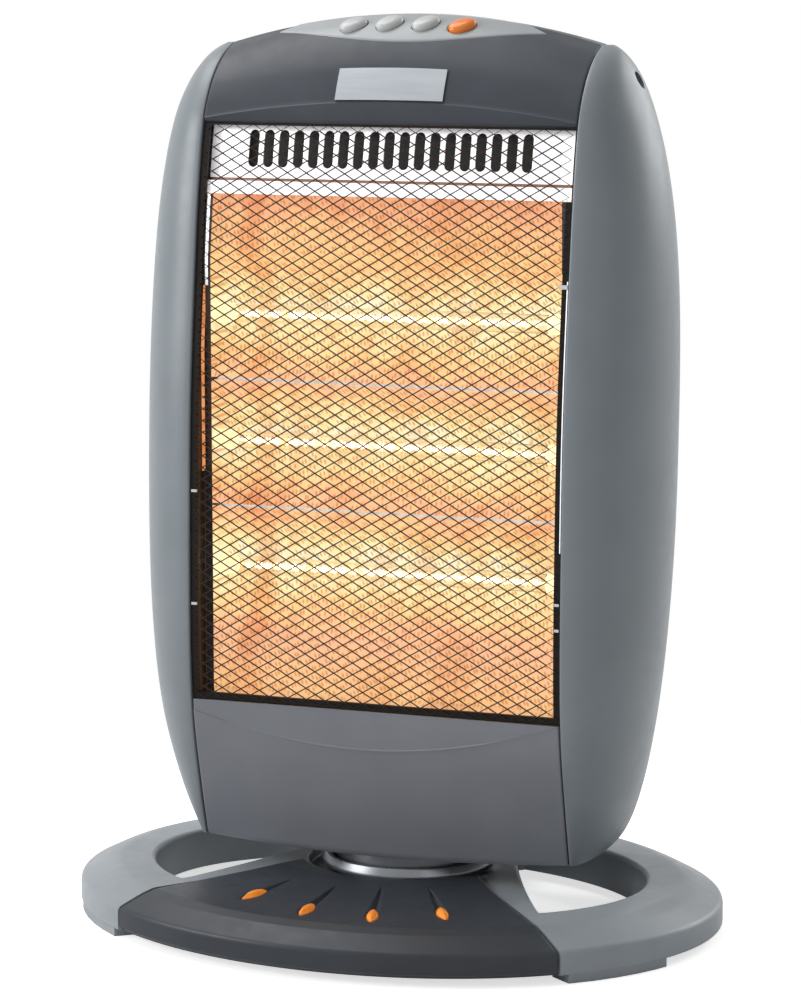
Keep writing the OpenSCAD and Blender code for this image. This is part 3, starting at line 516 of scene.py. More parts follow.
def wedge_rows(drop):
    # Rows of points from the hub out to the rim and down the skirt; drop gives the inner face
    across = [0, 0.0015, 0.004, 0.008] + [0.014 + 0.972 * k / 300 for k in range(301)]
    across += [0.992, 0.996, 0.9985, 1]
    crest = rim_row(crest_inset, 0, across)
    line = [p for p in wedge_side if inside(*p, *rim(crest_inset))] + [side_at(crest_inset)]
    lengths = [0.0]
    for p, q in zip(line, line[1:]):
        lengths.append(lengths[-1] + math.dist(p, q))

    def along_side(v):
        want = v * lengths[-1]
        for p, q, done, next_one in zip(line, line[1:], lengths, lengths[1:]):
            if want <= next_one + 1e-9:
                return part_way(p, q, (want - done) / (next_one - done))
        return line[-1]

    rows = []
    for v in [0, 0.004, 0.012] + [0.02 + 0.98 * k / 96 for k in range(97)]:
        sx, sy = along_side(v)
        ex, ey = part_way(line[0], line[-1], v)
        row = []
        for u, (cx, cy, _) in zip(across, crest):
            angle = hub_from + (hub_to - hub_from) * u
            at_hub = (hub_edge_r * math.cos(angle), hub_y + hub_edge_r * math.sin(angle))
            x, y = part_way(at_hub, (cx, cy), v)
            x += (sx - ex) * (2 * u - 1)
            y += (sy - ey) * (1 - 4 * u * (1 - u))
            edge = rounded_off(min(u, 1 - u) * wedge_wide, wedge_edge)
            edge += rounded_off(v * wedge_long, wedge_edge)
            row.append((x, y, foot_height(x, y) - groove_depth(x, y) - edge - drop))
        rows.append(row)
    skirt = eased([(24.2, foot_top - 0.05, 0), (23.2, 29.24, 0), (17.2, 27.37, 0), (16, 27.0, 1),
                   (0, 19.1, 2.4), (0, 7.9, 0)])
    for inset, z in skirt:
        row = rim_row(inset + drop, z - drop * 0.8, across)
        if inset > 1:
            row = [(x, y, h - rounded_off(min(u, 1 - u) * skirt_wide, wedge_edge))
                   for u, (x, y, h) in zip(across, row)]
        rows.append(row)
    return rows


def shell(name, outer, inner, crisp=35):
    # A wall between two like sheets of points, closed round its edge
    rows, cols = len(outer), len(outer[0])
    n = rows * cols
    points = [p for sheet in (outer, inner) for row in sheet for p in row]
    faces = []
    for i in range(rows - 1):
        for a in range(i * cols, i * cols + cols - 1):
            c = a + cols
            faces += [(a, a + 1, c + 1, c), (n + a, n + c, n + c + 1, n + a + 1)]
    for i in (0, rows - 1):
        for a in range(i * cols, i * cols + cols - 1):
            faces.append((a, a + 1, n + a + 1, n + a))
    for i in range(rows - 1):
        for a in (i * cols, i * cols + cols - 1):
            faces.append((a, a + cols, n + a + cols, n + a))
    return moulding(name, points, faces, crisp)


wedge = shell("wedge", wedge_rows(0), wedge_rows(wedge_wall))
wedge_plastic = plastic("wedge_plastic", (50, 54, 60), (0.36, 0.46), 4, Specular_IOR_Level=0.3)
fitted(wedge, wedge_plastic, "base", "charcoal_plastic", "wedge_cover")

# ---- Orange leaves ----
# Four clear orange acrylic leaves are pressed into hollows of the wedge. Each has a domed
# middle and a thin flat rim that lets the light through.
leaf_dome = [(1.0, -3.6), (1.0, 0.1), (0.97, 0.4), (0.9, 0.5), (0.86, 0.8), (0.76, 1.45),
             (0.6, 2.05), (0.42, 2.4), (0.2, 2.6), (0.02, 2.65)]


def leaf(x, y, z, turn):
    bow = (leaf_half ** 2 - leaf_side ** 2) / (2 * leaf_side)
    r = bow + leaf_side
    outline = []
    for px, up in ellipse(leaf_half, 1, 64):
        py = math.copysign(math.sqrt(max(0.0, r * r - px * px)) - bow, up) if abs(up) > 1e-9 else 0.0
        outline.append((px, max(-leaf_side, min(leaf_side, py))))
    c, s = math.cos(turn), math.sin(turn)
    return stacked("leaf", [[(x + f * (px * c - py * s), y + f * (px * s + py * c), z + h)
                             for px, py in outline] for f, h in leaf_dome], 60)


leaves = joined("leaves", [leaf(x, y, foot_height(x, y) - 0.5, math.atan2(y - gy, x - gx))
                           for (x, y), (gx, gy) in zip(leaf_places, groove_ends)])
# The orange carries a faint painted glow in its emission colour, for the light let through.
orange_acrylic = uneven("orange_acrylic", (6, 2, (238, 128, 10), (252, 156, 24)), (3, 2, 0.1, 0.2),
                        (2, 0.01, 0.2), (5, 2, (236, 120, 8), (252, 160, 30)), Emission_Strength=0.35,
                        Coat_Weight=0.5, Subsurface_Weight=0.1, Subsurface_Radius=(0.004, 0.002, 0.0005))
fitted(leaves, orange_acrylic, "base", "orange_plastic", "leaf_inserts")

# ---- Foot pads ----
# Four curved light grey pads are glued under the rim of the foot and stand on the floor. They
# are of soft plastic, a little duller than the moulding above them.
dressed("foot_pads", plastic("pad_plastic", (146, 150, 154), (0.55, 0.66), 4, 0.8, 0.02), 0.6)

# ---- Tip-over switch ----
# A small black switch hangs under the rear of the ring. The floor holds its orange plunger
# up, and a wound steel spring pushes it out when the heater is lifted or falls over.
spring_r, spring_low, spring_high = 4.5, 18.8, 25.1
spring_turns, spring_wire = 5, 0.42
black_plastic = plastic("black_plastic", (30, 31, 33), (0.4, 0.52), 3)
dressed("tip_switch", black_plastic, 0.4)
dressed("tip_plunger", plastic("orange_plastic", (234, 122, 20), (0.24, 0.34), 5, 0.6, 0.006), 0.3)
bright_steel = bright_metal("bright_steel", (196, 198, 200), (0.16, 0.26))


def wound(name, path, wire, sides=8):
    # A round wire swept along a path, with its section carried on from point to point
    rings = []
    normal = None
    for i, p in enumerate(path):
        ahead = (Vector(path[min(i + 1, len(path) - 1)]) - Vector(path[max(i - 1, 0)])).normalized()
        if normal is None:
            normal = ahead.orthogonal().normalized()
        normal = (normal - ahead * normal.dot(ahead)).normalized()
        other = ahead.cross(normal)
        rings.append([tuple(Vector(p) + normal * a + other * b) for a, b in ellipse(wire, wire, sides)])
    return stacked(name, rings, 60)


coil = []
for k in range(24 * spring_turns + 1):
    turn = 2 * math.pi * k / 24
    up = spring_low + (spring_high - spring_low) * k / (24 * spring_turns)
    coil.append((spring_r * math.cos(turn), tip_y + spring_r * math.sin(turn), up))
fitted(wound("switch_spring", coil, spring_wire), bright_steel, "base", "zinc_steel", "tip_spring")

# ---- Hub: washer, pivot and nut ----
# The body turns on a hollow steel pivot in the hub of the foot. It rides on a slippery white
# washer, and a large nut below keeps it from lifting off.
white_plastic = plastic("white_plastic", (226, 225, 218), (0.42, 0.52), 4)
dressed("thrust_washer", white_plastic, 0.3)
dressed("pivot_tube", zinc_steel, 0.3)
dressed("pivot_nut", bright_steel, 0.5)

# ---- Turning collar ----
# The collar under the body is a dish in glossy metallic grey, with a sloped, shiny rim. The
# body stands on its neck, and its cone runs just clear of the dish in the foot.


def turned(name, line, sides=144, y=0.0):
    # A closed outline of (radius, height) turned round an upright axis
    n = len(line)
    points = []
    for k in range(sides):
        c, s = math.cos(2 * math.pi * k / sides), math.sin(2 * math.pi * k / sides)
        points += [(r * c, y + r * s, z) for r, z in line]
    faces = [(k * n + i, (k + 1) % sides * n + i, (k + 1) % sides * n + (i + 1) % n, k * n + (i + 1) % n)
             for k in range(sides) for i in range(n)]
    return moulding(name, points, faces)


collar_line = eased([(12.4, 24.5, 0), (44.6, 24.5, 1.2), (53.4, 27.2, 2.0), (54.2, 29.4, 1.6),
                     (52.0, 35.0, 1.0), (50.8, 35.0, 0.5), (49.6, 32.6, 1.6), (47.3, 31.8, 0.8),
                     (47, 44.6, 0), (43, 44.6, 0), (43, 27.4, 1), (12.4, 27.4, 0)], 6)
collar_gloss = plastic("collar_gloss", (128, 132, 137), (0.26, 0.34), 5, 2.0, 0.004, Metallic=0.6)
fitted(turned("collar", collar_line, y=hub_y), collar_gloss, "heater_body", "grey_plastic", "turntable_collar")

# ---- Swing drive ----
# A small geared motor turns a crank, whose pin works in the slot of an arm that is fixed to
# the foot, so the body swings to and fro. All of it sits in the bottom of the body.
dressed("yoke_arm", zinc_steel, 0.3)
dressed("swing_motor", zinc_steel, 0.6)
dressed("crank_disc", white_plastic, 0.3)

# ---- Floor plate and terminal block ----
# A black plate closes the body from below and carries the motor and the ceramic block where
# the mains wires are joined.
dressed("floor_plate", black_plastic, 0.4)
dressed("terminal_block", plastic("white_ceramic", (232, 229, 216), (0.3, 0.42), 5, 0.7, 0.01), 0.6)

# ---- Side casings ----
# Each side is one bulging shell of satin grey plastic, from the floor of the body to the
# shoulder. A screw deep in a round hole near the top draws it to the body.
body_z, body_h, body_top = 45.0, 480.0, 525.0
core_x = 116.0
seam = 0.3
wall = 2.5
front_reach, rear_reach, side_reach = 70, 71.5, 47.4
belly_z = 289.8
well_x, well_y, well_z, well_r = 121, 29, 505, 5.0
casing_edge = 1.1
# Depth of the front and the rear line at shares of the body's height
front_line = [(0, .66), (.07, .80), (.16, .95), (.25, 1), (.41, .99), (.57, .94), (.74, .81),
              (.82, .73), (.91, .59), (.95, .43), (.975, .25), (.99, .08), (1, -.1)]
rear_line = [(0, .78), (.08, .75), (.26, .84), (.45, .96), (.62, 1), (.76, .95), (.85, .85),
             (.91, .74), (.95, .63), (.975, .50), (.99, .38), (1, .28)]


def smooth_line(marks, u):
    i = 0
    while i < len(marks) - 2 and u >= marks[i + 1][0]:
        i += 1

    def slope(k):
        a, b = max(k - 1, 0), min(k + 1, len(marks) - 1)
        return (marks[b][1] - marks[a][1]) / (marks[b][0] - marks[a][0])

    h = marks[i + 1][0] - marks[i][0]
    t = (u - marks[i][0]) / h
    return ((2 * t ** 3 - 3 * t * t + 1) * marks[i][1] + (t ** 3 - 2 * t * t + t) * h * slope(i)
            + (3 * t * t - 2 * t ** 3) * marks[i + 1][1] + (t ** 3 - t * t) * h * slope(i + 1))


def front_y(z):
    return hub_y - front_reach * smooth_line(front_line, (z - body_z) / body_h)


def rear_y(z):
    return hub_y + rear_reach * smooth_line(rear_line, (z - body_z) / body_h)


def bulge(z):
    # Widest at the belly, and still a little open at the shoulder and the floor
    if z > belly_z:
        return side_reach * math.sqrt(1 - ((z - belly_z) / (body_top - belly_z + 1)) ** 3)
    return side_reach * math.sqrt(1 - ((belly_z - z) / (belly_z - body_z + 5)) ** 2.5)


def casing_arc(side, z, y0, y1, out, ease):
    # Half oval from the front line round the side to the rear line, finely divided at its ends
    ends = [math.asin(min(1.0, d / out)) for d in (0, 0.08, 0.3, 0.65, 1.1)]
    turns = ends + [ends[-1] + (math.pi - 2 * ends[-1]) * k / 44 for k in range(1, 44)]
    arc = []
    for a in turns + [math.pi - a for a in reversed(ends)]:
        x = out * math.sin(a)
        y = (y0 + y1) / 2 - (y1 - y0) / 2 * math.cos(a)
        back = rounded_off(x, ease) if ease else 0.0
        arc.append((side * (core_x + x), y + back * math.copysign(1, math.cos(a)), z))
    return arc


def casing_end(side, z, y0, y1, count):
    return [(side * (core_x + 0.4 * math.sin(math.pi * j / (count - 1))),
             y0 + (y1 - y0) * (0.05 + 0.9 * j / (count - 1)), z) for j in range(count)]


def casing_rows(side, t):
    z0, z1 = body_z + t, body_top - t
    rows = []
    for i in range(113):
        v = (1 - math.cos(math.pi * i / 112)) / 2
        z = body_z + body_h * v
        rows.append(casing_arc(side, z0 + (z1 - z0) * v, front_y(z) + t, rear_y(z) - t, bulge(z) - t,
                               0 if t else casing_edge))
    low, high = (casing_end(side, at, front_y(z) + t, rear_y(z) - t, len(rows[0]))
                 for at, z in ((z0, body_z), (z1, body_top)))
    return [low] + rows + [high]


def placed(piece, x, y, z, turn, axis):
    # A piece made at the origin is turned and taken to its place
    piece.data.transform(Matrix.Translation((x * mm, y * mm, z * mm)) @ Matrix.Rotation(turn, 4, axis))
    return piece


grey_plastic = plastic("grey_plastic", (122, 129, 134), (0.34, 0.42), 3)
for side, name in ((-1, "left_casing"), (1, "right_casing")):
    inward = side * math.pi / 2
    casing = shell(name + "_shell", casing_rows(side, 0), casing_rows(side, wall))
    hole = round_bar("hole", well_r, 0, 60, 0, 0, 48)
    trimmed(casing, placed(hole, side * (well_x - 0.5), well_y, well_z, inward, "Y"))
    fitted(casing, grey_plastic, "heater_body", "grey_plastic", name)
    # The hole is lined with a black cup, which paints the shade deep in the hole.
    cup_line = [(well_r, 0), (well_r, 11), (well_r + 1.2, 11), (well_r + 1.2, -1.2), (0.01, -1.2), (0.01, 0)]
    cup = placed(turned(name + "_screw_well", cup_line, 48), side * well_x, well_y, well_z, inward, "Y")
    fitted(cup, black_plastic, "heater_body", "grey_plastic")
    head_line = [(0.01, 2.2), (2.2, 2.2), (3.4, 1.4), (3.5, 0.1), (0.01, 0.1)]
    head = placed(turned(name + "_screw", head_line, 48), side * well_x, well_y, well_z, inward, "Y")
    fitted(head, zinc_steel, "heater_body", "zinc_steel")

# ---- Rear cover ----
# The back is one satin grey moulding between the casings. Rows of level slots above and below
# let the warm air out, and four screws hold the cover to the body.
shell_x = core_x - seam
cut_z = 479.0
rear_h = 433.7
vent_x, vent_long, vent_high, vent_pitch = 44, 70, 4.4, 11
top_vents, low_vents = 8, 5
cord_x, cord_z, bush_hole_r = 70, 79, 9.1


def edged(long, count, first=(0, 0.12, 0.4, 0.9, 1.6), last=(1.6, 0.9, 0.4, 0.12, 0)):
    # Steps along a side, finely divided at its two rounded ends
    start, end = first[-1], long - last[0]
    even = [start + (end - start) * k / count for k in range(count + 1)]
    return list(first[:-1]) + even + [long - step for step in last[1:]]


def from_edge(w, long):
    return rounded_off(min(w, long - w), 1.0)


def rear_rows(t):
    rows = []
    for h in edged(rear_h, 84, (0, 0.15, 0.5, 1.0, 1.8), (2.3, 1.2, 0.5, 0.15, 0)):
        row = []
        for w in edged(2 * shell_x, 60):
            back = t if t else min(from_edge(w, 2 * shell_x) + from_edge(h, rear_h), 1.6)
            row.append((w - shell_x, rear_y(body_z + h) - back, body_z + h))
        rows.append(row)
    return rows


def slot_outline(long, wide):
    # Plan of a slot with round ends
    line = []
    for end in (1, -1):
        for k in range(13):
            a = math.pi * (k / 12 - end / 2)
            line.append((end * (long - wide) / 2 + wide / 2 * math.cos(a), wide / 2 * math.sin(a)))
    return line


rear = shell("rear_shell", rear_rows(0), rear_rows(wall))
vent_zs = [cut_z - 38 - vent_pitch * i for i in range(top_vents)]
vent_zs += [body_z + 78 + vent_pitch * i for i in range(low_vents)]
vents = []
for side in (-1, 1):
    for z in vent_zs:
        line = [(side * vent_x + a, z + b) for a, b in slot_outline(vent_long, vent_high)]
        vents.append(stacked("vent", [[(a, y, b) for a, b in line] for y in (0, 150)]))
trimmed(rear, joined("vents", vents))
bush_hole = round_bar("bush_hole", bush_hole_r, 0, 150, cord_x, -cord_z, 64)
trimmed(rear, placed(bush_hole, 0, 0, 0, -math.pi / 2, "X"))
fitted(rear, grey_plastic, "heater_body", "grey_plastic", "rear_cover")
back_screws = []
for x, z in [(side * 100, z) for z in (65, 445) for side in (-1, 1)]:
    shank = round_bar("shank", screw_r, 0, 11, 0, 0, 24)
    back_screws.append(screw_head(x, rear_y(z) + 0.2, z, 1.7, (0, -1, 0)))
    back_screws.append(placed(shank, x, rear_y(z) + 0.4, z, math.pi / 2, "X"))
fitted(joined("back_screws", back_screws), zinc_steel, "heater_body", "zinc_steel", "rear_screws")

# ---- Cord bush ----
# A black rubber bush lines the hole low in the back where the mains cord comes in. It has a
# flange on each side of the wall and a ribbed lip.
bush_line = eased([(3.6, -4.5, 0), (11, -4.5, 0.6), (11, -2.4, 0.5), (9, -2.2, 0), (9, 4.4, 0),
                   (11.5, 4.6, 0.8), (11.5, 6.8, 0.8), (9.0, 7.2, 0.3), (8.8, 8.9, 0.9), (3.6, 8.9, 0)], 4)
bush = placed(turned("bush", bush_line, 64), cord_x, rear_y(cord_z) - wall, cord_z, -math.pi / 2, "X")
black_rubber = plastic("black_rubber", (34, 34, 36), (0.62, 0.78), 4, 0.8, 0.03)
fitted(bush, black_rubber, "heater_body", "black_rubber", "cord_bush")

# ---- Heat shield, cutout and end plates ----
# A bright sheet behind the reflector keeps the back cool, with a thermal cutout on it. Black
# painted steel plates close the ends of the reflector and carry the tubes.
dressed("heat_shield", bright_metal("shield_metal", (184, 185, 184), (0.3, 0.45)), 0.2)
dressed("thermal_cutout", black_plastic, 0.5)
end_black = uneven("end_plate_paint", (14, 3, (16, 14, 13), (30, 25, 23)), (7, 2, 0.3, 0.44), (1.2, 0.01))
dressed("left_end_plate", end_black, 0.2)
dressed("right_end_plate", end_black, 0.2)

# ---- Reflector ----
# One sheet of polished aluminium is bent into three troughs, one round each tube, with bright
# ridges between them and flat lips round the edge. The tubes' light in it is a painted glow.
tube_zs = (212.0, 288.5, 365.0)
tube_y = -14.0
tube_pitch = 76.5
ridge_y = tube_y - 11
trough_depth = 30.0
sheet_x = 111.5
sheet_wall = 1.2
lip_y = -32.0
glow_low, glow_high = 134, 432
mirrored_tick_size, mirrored_tick_lean = 4.3, 25
glow_dim_x, glow_dim_half = -85, 13


def sheet_line(t):
    # Section of the sheet: three hollows with a sharp ridge between them, then the upper lip
    line = [(ridge_y - 3 + t, 135.6)]
    for z in tube_zs:
        for k in range(0 if z == tube_zs[0] else 1, 33):
            v = k / 16 - 1
            ridge = 0.9 * math.exp(-((1 - abs(v)) / 0.03) ** 2)
            line.append((ridge_y + trough_depth * (1 - abs(v) ** 2.1) - ridge + t, z + tube_pitch / 2 * v))
    return line + [(ridge_y + 4 + t, 418), (ridge_y + 8 + t, 431.4), (ridge_y + 9 + t, 438.5)]


def sheet_rows(t):
    return [[(sheet_x * (k / 12 - 1), y, z) for k in range(25)] for y, z in sheet_line(t)]


def lip(name, x0, x1, z0, z1, face, thick=0.6):
    # Narrow strip of sheet; face gives its depth at each height
    rows = []
    for i in range(25):
        z = z0 + (z1 - z0) * i / 24
        rows.append([(x0 + (x1 - x0) * k / 8, face(z), z) for k in range(9)])
    return shell(name, rows, [[(x, y + thick, z) for x, y, z in row] for row in rows])


def behind_front(depth):
    return lambda z: front_y(z) + depth


def side_face(z):
    return max(lip_y, front_y(z) + 3)


def cheek(x):
    # Flat end of the troughs, from the lip back to the sheet
    edge = [(side_face(z) + 1.2, z) for _, z in sheet_line(0)]
    outline = [(y - 0.2, z) for y, z in sheet_line(0)] + list(reversed(edge))
    return stacked("cheek", [[(x + t, y, z) for y, z in outline] for t in (-0.1, 0.1)])


def worked_out(tree, kind, a, b):
    # A number worked out from two others in the material
    return node(tree, "Math", {0: a, 1: b}, operation=kind)["Value"]


glow = uneven("glowing_aluminium", (18, 3, (84, 60, 42), (104, 76, 52)), (9, 3, 0.34, 0.46),
              Metallic=1.0, Emission_Strength=0.98)
embossed(glow, clouds(glow, 5, 3), 0.08, 0.3)
tree = glow.node_tree
place = node(tree, "SeparateXYZ", {"Vector": node(tree, "TexCoord", {})["Object"]})


def darkened(colour, fac, stops, share):
    # The colour is multiplied by a second one that follows the pattern
    mix = {0: share, 6: colour, 7: banded(glow, fac, stops)}
    return node(tree, "Mix", mix, data_type="RGBA", blend_type="MULTIPLY")[2]


def wandering(size, squeeze, swing):
    # Height that wanders up and down with the noise
    noise = worked_out(tree, "SUBTRACT", clouds(glow, size, 3, squeeze), 0.5)
    return worked_out(tree, "MULTIPLY", noise, swing)


height = worked_out(tree, "ADD", place["Z"], wandering(30, (1, 1, 1.6), 0.036))
height = worked_out(tree, "ADD", height, wandering(8, (1, 1, 1.4), 0.03))
height = worked_out(tree, "SUBTRACT", height, glow_low * mm)
share = worked_out(tree, "DIVIDE", height, (glow_high - glow_low) * mm)
# Painted glow: the emission colour is brightest at each tube and dimmer between them. It stands for the tubes'
# light mirrored in the sheet.
painted_glow_stops = [(134, (250, 200, 140))]
for z in tube_zs:
    painted_glow_stops += [(z - 37, (247, 190, 150)), (z - 24, (254, 214, 152)), (z - 9, (255, 240, 182)),
                   (z + 1, (255, 250, 214)), (z + 12, (255, 238, 176)), (z + 27, (252, 202, 144))]
painted_glow_stops += [(402, (253, 208, 146)), (430, (240, 174, 132))]
painted_glow_stops = [((z - glow_low) / (glow_high - glow_low), paint(*colour)) for z, colour in painted_glow_stops]
plain = (1, 1, 1, 1)
# Painted reflection: small slanted dark ticks in the glow stand for the mesh mirrored in the sheet.
flat = node(tree, "CombineXYZ", {"X": place["X"], "Y": place["Z"]})["Vector"]
slanted = node(tree, "Mapping", {"Vector": flat, "Rotation": (0, 0, math.radians(mirrored_tick_lean)),
                                 "Scale": (0.55, 1.3, 1.0)}, vector_type="TEXTURE")["Vector"]
mirrored_mesh_ticks = node(tree, "TexVoronoi", {"Vector": slanted, "Scale": 1000 / mirrored_tick_size, "Randomness": 0.5},
             voronoi_dimensions="2D")["Distance"]
painted_glow = banded(glow, share, painted_glow_stops)
painted_glow = darkened(painted_glow, mirrored_mesh_ticks, [(0.14, (0.62, 0.36, 0.24, 1)), (0.36, plain)], 0.75)
painted_glow = darkened(painted_glow, clouds(glow, 40, 3, (1.6, 1, 0.8)), [(0.34, (0.86, 0.66, 0.56, 1)), (0.5, plain)], 0.7)
# The painted glow is dimmer in an upright band round x = -85.
glow_dim_band = worked_out(tree, "SUBTRACT", place["X"], glow_dim_x * mm)
glow_dim_band = worked_out(tree, "DIVIDE", glow_dim_band, glow_dim_half * mm)
glow_dim_band = worked_out(tree, "ADD", worked_out(tree, "MULTIPLY", glow_dim_band, glow_dim_band), clouds(glow, 20, 3))
painted_glow = darkened(painted_glow, glow_dim_band, [(0.45, (0.84, 0.56, 0.44, 1)), (1.0, plain)], 0.6)
feed(glow, "Emission Color", painted_glow)
troughs = shell("troughs", sheet_rows(0), sheet_rows(sheet_wall), 50)
sheet = joined("trough_sheet", [troughs, cheek(0.1 - sheet_x), cheek(sheet_x - 0.1)])
fitted(sheet, glow, "heater_body", "polished_aluminium", "reflector")
# A thin strip with a painted glow stands for the lit turned edge of the reflector, seen beside the left end
# plate.
lit_edge = lip("lit_edge", -110.6, -110.4, 272, 383, lambda z: max(-38.6, front_y(z) + 2.5), 4.4)
edge_glow = uneven("edge_glow", (18, 3, (84, 60, 42), (104, 76, 52)), (9, 3, 0.34, 0.46), None,
                   (16, 3, (206, 116, 62), (238, 164, 106), (1, 1, 2)), Emission_Strength=0.9)
fitted(lit_edge, edge_glow, "heater_body", "polished_aluminium")
polished = bright_metal("polished_aluminium", (244, 244, 248), (0.12, 0.2), (1, 1, 8), 1.0)
# A rough polished finish with a faint painted glow in its emission, so that the strips show white.
painted_glow_strip = bright_metal("painted_glow_strip", (246, 246, 248), (0.45, 0.52), (1, 1, 8), 1.0)
two_toned(painted_glow_strip, clouds(painted_glow_strip, 24, 3), "Emission Color", (246, 246, 250), (255, 255, 255))
sockets(painted_glow_strip)["Emission Strength"].default_value = 0.22
ridge_metal = bright_metal("ridge_metal", (244, 236, 228), (0.2, 0.3), (1, 1, 8), 1.0)
for n in (0, 1):
    z = tube_zs[n] + tube_pitch / 2
    ridge = lip("ridge_%d" % n, -sheet_x, sheet_x, z - 0.75, z + 0.75, lambda h: ridge_y - 1.7, 0.4)
    fitted(ridge, ridge_metal, "heater_body", "polished_aluminium")
foot_lip = moulding("foot_lip", [(x, y, z + t) for t in (0, -0.5) for y, z in ((-42.5, 137.4), (-29, 139.4))
                                 for x in (-sheet_x, sheet_x)],
                    [(0, 1, 3, 2), (4, 6, 7, 5), (0, 2, 6, 4), (1, 5, 7, 3), (0, 4, 5, 1), (2, 3, 7, 6)])
fitted(foot_lip, polished, "heater_body", "polished_aluminium")
# A dark warm black for side pieces. On the left flange it paints the dark reflection that the polished flange
# shows.
side_dark_finish = uneven("side_dark_finish", (14, 3, (36, 30, 31), (54, 47, 49)), (7, 2, 0.3, 0.44), (1.2, 0.01))
left_lip = lip("left_lip", -111.6, -107.2, 136, 436.8, side_face)
fitted(left_lip, side_dark_finish, "heater_body", "black_painted_steel")
# These strips take the finish with the painted glow. The two thin edge strips paint the bright lines along the
# edges of the side flanges.
for name, x0, x1, z0, z1, face, thick in (
        ("top_lip", -113.7, 114.8, 437.2, 444.9, behind_front(4.7), 0.6),
        ("left_lip_edge", -110.4, -108.6, 383, 436.8, lambda z: side_face(z) - 0.1, 0.08),
        ("right_lip_edge", 114.7, 115.3, 236, 392, behind_front(1.95), 0.04)):
    fitted(lip(name, x0, x1, z0, z1, face, thick), painted_glow_strip, "heater_body", "polished_aluminium")
gusset_line = [(109.2, 437), (111.9, 437), (111.9, 396), (111.2, 396)]
gusset = stacked("gusset", [[(x, front_y(z) + d, z) for x, z in gusset_line] for d in (2.6, 3.4)])
fitted(gusset, side_dark_finish, "heater_body", "black_painted_steel")

# ---- Quartz tubes, filaments, caps and clips ----
# Three clear quartz tubes lie across the troughs. In each a tungsten wire, wound into a row of
# short fat coils, glows nearly white, and ceramic caps in steel clips hold the ends.
tube_l, tube_r, tube_bore = 196.0, 5.5, 4.6
coil_turns, coil_half, coil_wire = 93, 93, 0.6
bead_small, bead_big, bead_turns = 0.6, 1.8, 3
cap_x, cap_r, cap_l = 98.3, 5.9, 18
quartz = uneven("quartz_glass", (20, 2, (255, 251, 244), (255, 254, 250)), (5, 2, 0.02, 0.07),
                Transmission_Weight=1.0, IOR=1.2)
hot_wire = uneven("hot_wire", (3, 2, (190, 120, 60), (230, 170, 100)), (2, 2, 0.4, 0.6), Emission_Strength=2.6)
two_toned(hot_wire, clouds(hot_wire, 7, 3), "Emission Color", (250, 190, 112), (255, 250, 224), (0.32, 0.6))
# The ceramic caps get a painted glow in their emission colour.
glow_painted_ceramic = uneven("glow_painted_ceramic", (4, 2, (226, 214, 186), (240, 232, 210)), (3, 2, 0.5, 0.65), None,
                     (6, 2, (255, 226, 160), (255, 242, 196)), Emission_Strength=0.9)
glass_line = eased([(tube_bore, 0, 0), (tube_r, 0, 0.3), (tube_r, tube_l, 0.3), (tube_bore, tube_l, 0)], 3)
cap_line = eased([(0.01, 0, 0), (cap_r, 0, 0.8), (cap_r, cap_l, 0.8), (0.01, cap_l, 0)], 4)
caps = []
for name, z in zip(("lower", "middle", "upper"), tube_zs):
    tube = placed(turned(name + "_glass", glass_line, 48), -tube_l / 2, tube_y, z, math.pi / 2, "Y")
    fitted(tube, quartz, "heater_body", "quartz_glass", "tube_" + name)
    path = [(0.5 - tube_l / 2, tube_y, z), (4 - tube_l / 2, tube_y, z)]
    for k in range(coil_turns * 12 + 1):
        t = k / 12
        bead = bead_small + (bead_big - bead_small) * math.sin(math.pi * t / bead_turns) ** 2
        r = bead * min(1.0, 2 * t, 2 * (coil_turns - t))
        turn = 2 * math.pi * t
        x = coil_half * (2 * t / coil_turns - 1)
        path.append((x, tube_y + r * math.cos(turn), z + r * math.sin(turn)))
    path += [(tube_l / 2 - 4, tube_y, z), (tube_l / 2 - 0.5, tube_y, z)]
    filament = wound(name + "_filament", path, coil_wire, 6)
    fitted(filament, hot_wire, "heater_body", "glowing_wire", "filament_" + name)
    for side in (-1, 1):
        caps.append(placed(turned("cap", cap_line, 48), side * cap_x, tube_y, z, side * math.pi / 2, "Y"))
fitted(joined("tube_caps", caps), glow_painted_ceramic, "heater_body", "ceramic", "end_caps")
dressed("tube_clips", bright_steel, 0.2)

# ---- Upper reflector ----
# Above the troughs a strip of polished aluminium, punched with nineteen upright slots, follows
# the curve of the front. The slots let hot air rise into the top.
upper_low, upper_high = 446.4, 477.7
upper_left, upper_wide, upper_sheet = -111.7, 226.5, 1.0
slot_count, slot_pitch, slot_high, slot_wide, slot_z = 19, 9.45, 22, 6.3, 463.7
upper_rows = []
for i in range(33):
    z = upper_low + (upper_high - upper_low) * i / 32
    upper_rows.append([(upper_left + upper_wide * k / 72, front_y(z) + 8.4, z) for k in range(73)])
upper = shell("upper_strip", upper_rows, [[(x, y + upper_sheet, z) for x, y, z in row] for row in upper_rows])
slots = []
for i in range(slot_count):
    x = (i - (slot_count - 1) / 2) * slot_pitch
    line = [(x + b, slot_z + a) for a, b in slot_outline(slot_high, slot_wide)]
    slots.append(stacked("slot", [[(a, y, b) for a, b in line] for y in (-120, 40)]))
trimmed(upper, joined("slots", slots))
# The strip takes the finish with the faint painted glow.
fitted(upper, painted_glow_strip, "heater_body", "polished_aluminium", "upper_reflector")
# The sheet seen through the gap under the upper strip is coloured brown to paint the shade in that gap.
gap_shade = bright_metal("gap_shade_metal", (164, 128, 108), (0.3, 0.4), (1, 1, 8), 1.0)
fitted(lip("back_lip", -112, 112, 441, 449, behind_front(9.8)), gap_shade, "heater_body", "polished_aluminium")
backing_black = plastic("backing_black", (16, 15, 14), (0.5, 0.6), 2)
